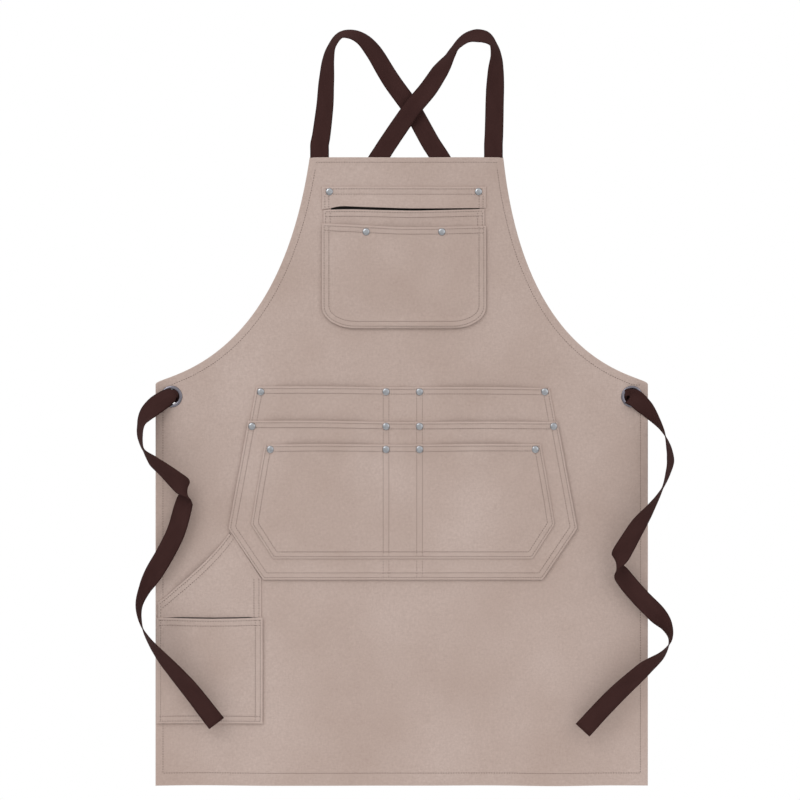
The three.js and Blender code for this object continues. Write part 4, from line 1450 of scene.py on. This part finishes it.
@dataclass
class HipPockets:
    """The slanted pocket and the lower one sewn over it, at the apron's lower left."""

    stack: Stack
    finishes: Finishes
    outer: float = -339.5
    inner: float = -192.3
    lower_mouth: float = -802.6
    bottom: float = -948.6
    slanted_inner: float = -194.3
    slanted_bottom: float = -946.6
    outer_row: float = -333.4
    gape: tuple[float, float] = (-330.0, -198.0)
    shadow_strip_drop: float = 12.0

    def build(self) -> None:
        """Builds both pockets and their stitches."""
        mouth = [(-238.0, -684.2), (-249.2, -699.4), (-260.5, -712.3), (-272.5, -725.0), (-284.6, -736.4),
                 (-298.5, -749.0), (-312.8, -761.0), (-329.7, -775.6), (-337.4, -781.1)]
        inner = self.slanted_inner
        right = [(-236.2, -683.8), (-214.2, -717.0), (inner, -747.5), (inner, self.slanted_bottom)]
        slanted = SlantedPocket(
            Layer.HIP_SLANTED, [*mouth, (-337.5, self.slanted_bottom)], right, self.stack.panel, self.stack,
            loose=3.6, seed=51, reach=30.0, mouth_points=mouth,
        )
        lower = Pocket(
            Layer.HIP_LOWER, [(self.outer, self.lower_mouth), (self.outer, self.bottom)],
            [(self.inner, self.lower_mouth), (self.inner, self.bottom)], slanted.face, self.stack,
            loose=3.4, seed=57,
            mouth_curve=((-339, 0.4), (-300, -0.2), (-262, -1.0), (-225, -0.4), (-192, 0.5)),
        )
        slanted.build(self.finishes.canvas, "hip_slanted_cloth")
        lower.build(self.finishes.canvas, "hip_lower_cloth")
        rows = Stitching()
        for distance in SEAM_ROWS:
            rows.along(offset_line(mouth, distance, [(-250.0, -800.0)]), slanted.face)
        for distance in (3.4, 10.2):
            x, z = inner - distance, self.bottom + distance
            rows.along([(x, -748.0), (x, -802.0)], slanted.face)
            rows.along([(x + 2, -804.0), (x + 2, -945.0)], lower.face)
            rows.along(lower.mouth_line(distance), lower.face)
            rows.along([(-336.0, z), (-195.0, z)], lower.face)
        rows.along([(self.outer_row, -785.0), (self.outer_row, -802.0)], slanted.face)
        self.shade_mouth(lower)
        rows.along([(self.outer_row, -804.0), (self.outer_row, -945.0)], lower.face)
        rows.build("hip_stitches", self.finishes.thread)

    def shade_mouth(self, lower: Pocket) -> None:
        """Adds painted shadow: a dark strip behind the lower pocket's mouth, where it gapes, that stands in
        for the shade in the gap.
        """
        # painted shadow: dark canvas colours for the strip behind the mouth
        dark = Canvas("mouth_painted_shadow", (0.055, 0.040, 0.035), (0.070, 0.052, 0.046), (0.04, 0.03, 0.026))
        start, end = self.gape
        xs = columns(np.array([self.gape] * 2), 6.0, [RIM, RIM])[0]
        ends = np.minimum(ease(0.0, 30.0, xs - start), ease(0.0, 16.0, end - xs))
        top = self.lower_mouth + lower.mouth_shift(xs) + 0.2 + 1.3 * ends
        share = np.linspace(0.0, 1.0, 5)[:, None]
        grid_z = top * (1 - share) + (top - self.shadow_strip_drop) * share
        obj = PaintedShadowStrip("hip_mouth_painted_shadow", dark).build(xs + np.zeros_like(grid_z), grid_z, lower.under)


@dataclass
class SlantedPocket(Pocket):
    """A pocket whose mouth is cut on a slant down its left side."""

    mouth_points: Line = field(default_factory=list)

    def __post_init__(self) -> None:
        """Works out the sewn line and the mouth."""
        super().__post_init__()
        self.sewn_line = [self.left[-2], self.left[-1], *self.right[::-1]]

    def level_drop(self, x: Array, z: Array) -> Array:
        """How far a point is inside the slanted mouth."""
        return distance_to(self.mouth_points, x, z)


# ---------------------------------------------------------------- metal


@dataclass
class RivetSet:
    """Domed rivets with a burr behind each, modelled once and copied."""

    stack: Stack
    finishes: Finishes
    cap_radius: float = 5.0
    rim: float = 0.75
    sunk: float = 0.15

    def cap(self) -> bpy.types.Object:
        """Models the cap, its back on y = 0.

        Returns:
            The cap.
        """
        cap = round_primitive(
            bpy.ops.mesh.primitive_cylinder_add, (0, -self.rim * MM / 2, 0),
            vertices=36, radius=self.cap_radius * MM, depth=self.rim * MM,
        )
        bpy.ops.object.transform_apply(location=True, rotation=True, scale=True)
        bpy.ops.object.mode_set(mode="EDIT")
        bpy.ops.mesh.select_all(action="DESELECT")
        bpy.ops.object.mode_set(mode="OBJECT")
        for polygon in cap.data.polygons:
            polygon.select = polygon.normal.y < -0.9
        bpy.ops.object.mode_set(mode="EDIT")
        for inset, rise in ((0.35, 0.34), (0.8, 0.34), (0.95, 0.19), (1.0, 0.08)):
            bpy.ops.mesh.inset(thickness=inset * MM, depth=0)
            bpy.ops.transform.translate(value=(0, -rise * MM, 0))
        bpy.ops.object.mode_set(mode="OBJECT")
        applied(cap, "BEVEL", width=0.28 * MM, segments=2, limit_method="ANGLE", angle_limit=math.radians(60))
        bpy.ops.object.shade_smooth()
        deselect_all()
        return cap

    def burr(self) -> bpy.types.Object:
        """Models the burr and the rivet's set end, their front on y = 0.

        Returns:
            The burr.
        """
        ring = squeezed(round_primitive(
            bpy.ops.mesh.primitive_torus_add, (0, 0.45 * MM, 0),
            major_radius=2.75 * MM, minor_radius=1.25 * MM, major_segments=32, minor_segments=10,
        ), (1, 1, 0.4))
        deselect_all()
        bpy.ops.mesh.primitive_uv_sphere_add(
            segments=20, ring_count=10, radius=1.7 * MM, location=(0, 0.5 * MM, 0)
        )
        return joined("burr", [ring, squeezed(bpy.context.active_object, (1, 0.5, 1))])

    def copy(self, model: bpy.types.Object, y: float, rivet: Rivet) -> bpy.types.Object:
        """A copy of a model, with its own mesh, at a rivet's place."""
        twin = model.copy()
        twin.data = model.data.copy()
        twin.location = (rivet.x * MM, y * MM, rivet.z * MM)
        bpy.context.scene.collection.objects.link(twin)
        return twin

    def build(self, carriers: dict[str, Pocket]) -> None:
        """Sets every rivet on the cloth that carries it.

        Args:
            carriers: the cloth, by how the rivets' names start.
        """
        cap, burr = self.cap(), self.burr()
        for name, rivet in self.stack.rivets.items():
            carrier = next(c for start, c in carriers.items() if name.startswith(start))
            x, z = np.array([rivet.x]), np.array([rivet.z])
            behind = carriers["chest_behind"].face if name.startswith("chest_pocket") else self.stack.panel
            seat = float(carrier.face(x, z)[0]) + self.sunk
            back = float(behind(x, z)[0]) + EDGES.cloth
            piece = joined(f"rivet_{name}", [self.copy(cap, seat, rivet), self.copy(burr, back, rivet)])
            nodes = (f"rivet_cap_{name}", f"rivet_burr_{name}")
            place_piece(piece, PANEL_BODY, nodes, self.finishes.nickel)
        for model in (cap, burr):
            bpy.data.objects.remove(model, do_unlink=True)


@dataclass
class Eyelets:
    """The two eyelets that the straps pass through."""

    finishes: Finishes
    hole: float = 10.5
    flange: float = 15.0

    def build(self) -> None:
        """Models both eyelets."""
        for side in ("left", "right"):
            low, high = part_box(f"eyelet_{side}")
            x, z = (low.x + high.x) / 2, (low.z + high.z) / 2
            front, back = low.y, high.y
            ring = self.ring((x, front + 0.75 * MM, z), 0.40)
            washer = self.ring((x, back - 1.05 * MM, z), 0.42)
            barrel = self.barrel(x, z, front + 0.6 * MM, back - 0.7 * MM)
            piece = joined(f"eyelet_ring_{side}", [ring, barrel, washer])
            nodes = (f"eyelet_{side}", f"eyelet_washer_{side}")
            place_piece(piece, PANEL_BODY, nodes, self.finishes.eyelet)

    def ring(self, location: Place, flat: float) -> bpy.types.Object:
        """A round ring, flattened front to back to a share of its height."""
        return squeezed(round_primitive(
            bpy.ops.mesh.primitive_torus_add, location,
            major_radius=(self.hole + self.flange) / 2 * MM, minor_radius=(self.flange - self.hole) / 2 * MM,
            major_segments=64, minor_segments=18,
        ), (1, 1, flat))

    def barrel(self, x: float, z: float, front: float, back: float) -> bpy.types.Object:
        """The short tube between the two flanges."""
        tube = round_primitive(
            bpy.ops.mesh.primitive_cylinder_add, (x, (front + back) / 2, z),
            vertices=64, radius=(self.hole + 0.7) * MM, depth=back - front, end_fill_type="NOTHING",
        )
        applied(tube, "SOLIDIFY", thickness=0.5 * MM, offset=-1)
        bpy.ops.object.shade_smooth()
        return tube


# ---------------------------------------------------------------- webbing


@dataclass
class Ribbon:
    """A flat strap along a route, with round selvedges.

    Each row of the route is (x, y, z, turn, width): a point on the centreline, the degrees that
    the strap is turned about its run, and its width there. At turn 0 its face looks along facing.
    """

    rows: list[tuple[float, ...]]
    facing: tuple[float, float, float]
    width: float = 26.0
    thick: float = 1.5
    per_span: int = 9
    across: int = 11
    hem: float = 0.0
    cup_share: float = 0.42
    deepest_cup: float = 6.0
    hem_extra: float = 0.9
    turn_window: float = 9.0
    width_window: float = 8.0

    def curve(self) -> tuple[Array, Array]:
        """The centreline and where each of its points falls between the rows.

        Returns:
            The points, and their row numbers as fractions.
        """
        given = np.array([row[:3] for row in self.rows], float)
        ends = np.vstack([2 * given[0] - given[1], given, 2 * given[-1] - given[-2]])
        points, where = [], []
        for i in range(len(given) - 1):
            a, b, c, d = ends[i : i + 4]
            steps = [max(float(np.linalg.norm(q - p)) ** 0.5, 1e-3) for p, q in ((a, b), (b, c), (c, d))]
            lead = ((b - a) / steps[0] - (c - a) / (steps[0] + steps[1]) + (c - b) / steps[1]) * steps[1]
            trail = ((c - b) / steps[1] - (d - b) / (steps[1] + steps[2]) + (d - c) / steps[2]) * steps[1]
            last = i == len(given) - 2
            for t in np.linspace(0, 1, self.per_span + 1)[: None if last else -1]:
                square = -3 * b + 3 * c - 2 * lead - trail
                cube = 2 * b - 2 * c + lead + trail
                points.append(b + lead * t + square * t**2 + cube * t**3)
                where.append(i + t)
        return np.array(points), np.array(where)

    def softened(self, values: Array, reach: Array, window: float, count: int = 600) -> Array:
        """Averages values along the run over a window, so that they change evenly.

        Args:
            values: the values.
            reach: how far along the run each one is.
            window: the window's length.
            count: how many even steps the average uses.

        Returns:
            The averaged values at the same places.
        """
        even = np.linspace(0, reach[-1], count)
        row = np.interp(even, reach, values)
        span = max(3, int(window / reach[-1] * count) | 1)
        kernel = np.hanning(span + 2)[1:-1]
        padded = np.pad(row, span // 2, mode="reflect", reflect_type="odd")
        return np.interp(reach, even, np.convolve(padded, kernel / kernel.sum(), mode="valid"))

    def build(self, name: str) -> tuple[bpy.types.Object, Array]:
        """Makes the strap.

        Args:
            name: the piece's name.

        Returns:
            The strap, and its centreline in metres.
        """
        line, where = self.curve()
        reach = np.concatenate([[0], np.cumsum(np.linalg.norm(np.diff(line, axis=0), axis=1))])
        index = np.arange(len(self.rows))
        given_turns = [row[3] for row in self.rows]
        given_widths = [row[4] if len(row) > 4 else self.width for row in self.rows]
        turns = self.softened(np.interp(where, index, given_turns), reach, self.turn_window)
        widths = self.softened(np.interp(where, index, given_widths), reach, self.width_window)
        along = np.gradient(line, axis=0)
        along = along / np.linalg.norm(along, axis=1, keepdims=True)
        facing = np.array(self.facing, float)
        flat = facing - along * (along @ facing)[:, None]
        flat = flat / np.linalg.norm(flat, axis=1, keepdims=True)
        sideways = np.cross(along, flat)
        angle = np.radians(turns)[:, None]
        edge = sideways * np.cos(angle) + flat * np.sin(angle)
        normal = np.cross(edge, along)
        q = np.linspace(-1, 1, self.across)
        swell = np.sqrt(np.clip(1 - np.abs(q) ** 14, 0, 1)) * (1 + 0.10 * bump_at(0.9, 0.08, np.abs(q)))
        ring = [(s, h) for s, h in zip(q, swell)] + [(s, -h) for s, h in zip(q[-2:0:-1], swell[-2:0:-1])]
        spare = np.sqrt(np.maximum(self.width**2 - widths**2, 0.0))
        cup = np.minimum(self.cup_share * spare, self.deepest_cup)
        doubled = 1 + self.hem_extra * ease(0.0, 0.8, reach - (reach[-1] - self.hem)) * (self.hem > 0)
        wobble = 0.35 * np.sin(reach / 17.0) + 0.25 * np.sin(reach / 7.3 + 1.0)
        points, uvs = [], []
        for s, h in ring:
            lift = h * self.thick / 2 * doubled + cup * (s * s - 0.33) + wobble * s * s * 0.6
            points.append(line + edge * (s * widths / 2)[:, None] + normal * lift[:, None])
            uvs.append(np.stack([np.full(reach.shape, s * self.width / 2), reach], axis=-1) * MM)
        count = len(ring)
        grid = np.stack(points, axis=1).reshape(-1, 3)
        uv = np.stack(uvs, axis=1).reshape(-1, 2)
        faces = []
        for i in range(len(line) - 1):
            for k in range(count):
                n = (k + 1) % count
                faces.append((i * count + k, i * count + n, (i + 1) * count + n, (i + 1) * count + k))
        faces.append(tuple(range(count))[::-1])
        faces.append(tuple((len(line) - 1) * count + k for k in range(count)))
        obj = mesh_object(name, grid, faces)
        self.face_out(obj)
        layer = obj.data.uv_layers.new(name="run")
        vertices = np.empty(len(obj.data.loops), np.int64)
        obj.data.loops.foreach_get("vertex_index", vertices)
        layer.data.foreach_set("uv", uv[vertices].astype(np.float32).ravel())
        return obj, line * MM

    def face_out(self, obj: bpy.types.Object) -> None:
        """Turns the faces out, if they point in."""
        mesh = obj.data
        mesh.calc_loop_triangles()
        corners = ([mesh.vertices[k].co for k in triangle.vertices] for triangle in mesh.loop_triangles)
        if sum(a.dot(b.cross(c)) for a, b, c in corners) < 0:
            mesh.flip_normals()


@dataclass
class Straps:
    """The two shoulder straps: sewn behind the bib, over the hanging point, across each other,
    and slack behind the panel to the opposite eyelet."""

    finishes: Finishes
    hinge_y: float = 2.35
    hinge_z: float = -155.8
    front_leg: float = 120.5
    left_back_leg: float = 40.8
    right_back_leg: float = 32.4
    slant: float = 33.0
    leg_step: float = 13.0
    run_bow: float = 37.0
    tail: float = 55.0

    # How the slack run leaves its chord: share of the chord, share of run_bow, and y.
    run_shape = (
        (0.12, 0.2, 2.8), (0.25, 0.6, 3.5), (0.4, 0.88, 4.0), (0.55, 1.0, 4.4),
        (0.7, 0.96, 5.0), (0.82, 0.78, 5.8), (0.91, 0.46, 7.0),
    )
    left_loop = (
        (-111.8, 1.8, -135.7, 8), (-106.3, 1, -91.4, 22), (-104.2, 0, -58.2, 32), (-102.1, 0, -30.5, 47),
        (-97.3, 1, -11.1, 60), (-85.5, 2, 4.2, 60), (-70.3, 3, 5.6, 50), (-55.1, 3.5, -0.6, 40),
        (-40, 4, -16.6, 24), (-14.2, 5, -58.2, 10), (14.2, 5.5, -98, 8),
    )
    right_loop = (
        (127.8, 1.8, -132.7, -4), (129.2, 0.5, -72, -12), (130.5, 0, -44.3, -30), (131, 0, -24.9, -50),
        (127, 0, -8.3, -62), (116.7, -0.5, 1.2, -40), (104.2, -1, 3.2, -36), (89, -1.5, -0.4, -50),
        (73.8, -2, -13.8, -64), (66.1, -2.5, -26.3, -56), (53, -3, -45.7, -24), (37.7, -3.5, -69.3, -10),
        (14.2, -3.5, -98, -8),
    )

    def on_leg(self, start: tuple[float, float, float], side: int, by: float) -> tuple[float, ...]:
        """A point on a back leg, which crosses the bib's top edge at a slant."""
        turn = math.radians(self.slant)
        return (start[0] + side * by * math.sin(turn), start[1], start[2] - by * math.cos(turn), 0.0)

    def run(self, start: tuple[float, float, float], side: int) -> list[tuple[float, ...]]:
        """The slack run behind the panel.

        Args:
            start: where the strap passes the bib's top edge.
            side: -1 or 1, the side that it runs to.

        Returns:
            The route's rows after start.
        """
        end_x, end_z = side * (EDGES.eyelet_x - 3.6), EDGES.eyelet_z
        chord = (end_x - start[0], end_z - start[2])
        length = math.hypot(*chord)
        inward = (side * chord[1] / length, -side * chord[0] / length)
        rows = [self.on_leg(start, side, self.leg_step)]
        for share, bow, y in self.run_shape:
            x, z = (start[k] + share * c + bow * self.run_bow * i for k, c, i in zip((0, 2), chord, inward))
            rows.append((x, y, z, 0.0))
        return rows + [
            (end_x - side * 16, 8.6, end_z + 11.2, 0.0, 23.0),
            (end_x - side * 6.1, 7.6, end_z + 4, 0.0, 20.0),
            (end_x - side * 0.3, 4.3, end_z, 0.0, 18.6),
            (end_x, 0.3, end_z, 0.0, 18.6),
        ]

    def build(self) -> None:
        """Builds both straps."""
        y, z, middle = self.hinge_y, self.hinge_z, EDGES.bib_lean
        for side, sign, back_leg, loop in (
            ("left", 1, self.left_back_leg, self.left_loop),
            ("right", -1, self.right_back_leg, self.right_loop),
        ):
            x, back = middle - sign * self.front_leg, (middle + sign * back_leg, y, z)
            tail = [(x, y, z + up, 0) for up in (-self.tail, -self.tail / 2, 0, 26 / 3)]
            legs = [self.on_leg(back, sign, -self.leg_step), (*back, 0)]
            obj, _ = Ribbon([*tail, *loop, *legs, *self.run(back, sign)], (0, -1, 0)).build(f"strap_{side}")
            obj.data.materials.append(self.finishes.webbing)
            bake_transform(obj)
            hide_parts(f"strap_tail_{side}", f"strap_loop_{side}", f"strap_run_{side}")
            log.info("strap_%s: %d faces", side, len(obj.data.polygons))


@dataclass
class Ties:
    """The free ends of the straps, which hang in loose curls from the eyelets."""

    finishes: Finishes
    hem: float = 11.0

    left_rows = (
        (4.4, 0, 0, 180, 18.6), (4, -4, 0, 180, 20.5), (-2.6, -8.8, -0.8, 180, 24), (-17, -13.2, -9.4, 176),
        (-31, -17, -22.5, 152), (-39, -21.5, -38.5, 118), (-40.2, -26, -54.4, 112), (-35.3, -30, -73.4, 97),
        (-22.9, -32.5, -87.9, 128), (-6, -33.4, -101.5, 142), (9.5, -32.6, -114.5, 162),
        (17.8, -30.8, -122.3, 188), (22, -28.4, -127.2, 224), (23.6, -25.6, -131.4, 268),
        (23, -22.6, -136, 310), (20.4, -20.4, -143, 336), (16.8, -19, -156, 350), (8.4, -18, -185, 356),
        (-4.8, -17.5, -212.6, 360), (-20.1, -18, -238.9, 368), (-34.6, -22.5, -264.5, 410),
        (-42.2, -27, -288, 432), (-38.8, -30, -311.6, 450), (-28.4, -31, -333, 470),
        (-6.2, -30, -362.2, 497), (25.6, -27, -398.9, 520), (64.4, -25, -449.4, 535),
    )
    right_rows = (
        (-4.4, 0, 0, 0, 18.6), (-4, -4, 0, 0, 20.5), (3.6, -8.8, -2.4, 0, 24), (17.6, -13.5, -15.2, -35),
        (31.4, -17.5, -32.5, -65), (41.8, -20.5, -49.9, -88), (48.1, -24, -68.6, -110),
        (50.1, -27.5, -87.3, -119), (46, -30.5, -106.6, -110), (38.4, -32.5, -126, -97),
        (22.4, -33.5, -152.4, -122), (6.5, -33.6, -174.5, -150), (-8, -32.8, -198.8, -166),
        (-17.2, -31.4, -214.6, -184), (-21.8, -29.4, -224.4, -220), (-23.4, -26.2, -231.4, -268),
        (-21.6, -22.8, -237, -308), (-17, -20.8, -244, -334), (-6.5, -19.4, -258, -346),
        (10.7, -19, -277.7, -350), (30, -19.5, -297.1, -360), (44.6, -24.5, -314.4, -410),
        (49.9, -28, -333.8, -445), (40.4, -30, -351.8, -475), (13.4, -28.5, -374.6, -510),
        (-25.9, -27.5, -410.6, -530), (-70.4, -25, -458.4, -538),
    )

    def build(self) -> None:
        """Builds both ties, as cords of the straps' own width."""
        for side, sign, rows in (("left", -1, self.left_rows), ("right", 1, self.right_rows)):
            x, z = sign * EDGES.eyelet_x, EDGES.eyelet_z
            placed = [(x + row[0], row[1], z + row[2], *row[3:]) for row in rows]
            obj, line = Ribbon(placed, (-sign * 0.04, -1, 0), hem=self.hem).build(f"tie_webbing_{side}")
            place_piece(obj, f"{side}_tie", (f"tie_{side}",), self.finishes.webbing)
            length = float(np.linalg.norm(np.diff(line, axis=0), axis=1).sum())


# ---------------------------------------------------------------- studio


@dataclass(frozen=True)
class Studio:
    """The camera, the soft lights and the pale floor."""

    centre: tuple[float, float, float] = (-0.0024, 0.0, -0.501)
    distance: float = 3.078
    lens: float = 100.0
    floor: float = -1.32
    floor_size: float = 2.7
    lights: tuple[tuple[Place, float, float], ...] = (
        ((-1.5, -2.4, 1.3), 1.8, 22.0),
        ((1.9, -2.2, 0.2), 2.2, 8.0),
    )

    def build(self) -> None:
        """Sets the stage."""
        scene = bpy.context.scene
        deselect_all()
        bpy.ops.object.camera_add(location=(self.centre[0], -self.distance, self.centre[2]), rotation=UPRIGHT)
        camera = bpy.context.active_object
        camera.data.lens, camera.data.sensor_width = self.lens, 36.0
        scene.camera = camera
        scene.view_settings.view_transform = "Standard"
        for location, size, energy in self.lights:
            bpy.ops.object.light_add(type="AREA", location=location)
            light = bpy.context.active_object
            light.data.shape, light.data.size, light.data.energy = "SQUARE", size, energy
            aim = Vector(self.centre) - Vector(location)
            light.rotation_euler = aim.to_track_quat("-Z", "Y").to_euler()
        self.world(scene)
        deselect_all()
        bpy.ops.mesh.primitive_plane_add(size=self.floor_size, location=(0, 0, self.floor))
        floor = bpy.context.active_object
        floor.name = "studio_floor"
        material, _, shader = new_material("floor", (0.9, 0.9, 0.9))
        shader.inputs["Base Color"].default_value = (0.93, 0.93, 0.93, 1)
        shader.inputs["Roughness"].default_value = 0.9
        floor.data.materials.append(material)
        deselect_all()

    def world(self, scene: bpy.types.Scene) -> None:
        """A white surround that lights more from above than from below."""
        world = bpy.data.worlds.new("surround")
        world.use_nodes = True
        scene.world = world
        nodes = Nodes(world.node_tree)
        height = nodes.parts(nodes.place("Generated"))[2]
        light = nodes.add("ShaderNodeBackground")
        nodes.feed(light.inputs["Color"], (1.0, 0.99, 0.985, 1))
        ramp = nodes.add("ShaderNodeMapRange")
        nodes.feed(ramp.inputs[0], height)
        for socket, value in zip(ramp.inputs[1:5], (-0.6, 1.0, 0.42, 0.95)):
            socket.default_value = value
        nodes.feed(light.inputs["Strength"], ramp.outputs[0])
        seen = nodes.add("ShaderNodeBackground")
        nodes.feed(seen.inputs["Color"], (1, 1, 1, 1))
        choice = nodes.add("ShaderNodeMixShader")
        nodes.feed(choice.inputs[0], nodes.add("ShaderNodeLightPath").outputs["Is Camera Ray"])
        nodes.feed(choice.inputs[1], light.outputs[0])
        nodes.feed(choice.inputs[2], seen.outputs[0])
        nodes.feed(nodes.add("ShaderNodeOutputWorld").inputs["Surface"], choice.outputs[0])


def main() -> None:
    """Builds the apron in order."""
    logging.basicConfig(level=logging.INFO, format="%(name)s %(message)s")
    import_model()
    deselect_all()
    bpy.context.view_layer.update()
    Studio().build()
    finishes = Finishes.make()
    Straps(finishes).build()
    Ties(finishes).build()
    stack = Stack()
    Panel(stack, finishes).build()
    carriers = {**ChestPockets(stack, finishes).build(), **WaistPockets(stack, finishes).build()}
    HipPockets(stack, finishes).build()
    RivetSet(stack, finishes).build(carriers)
    Eyelets(finishes).build()


if __name__ == "__main__":
    main()
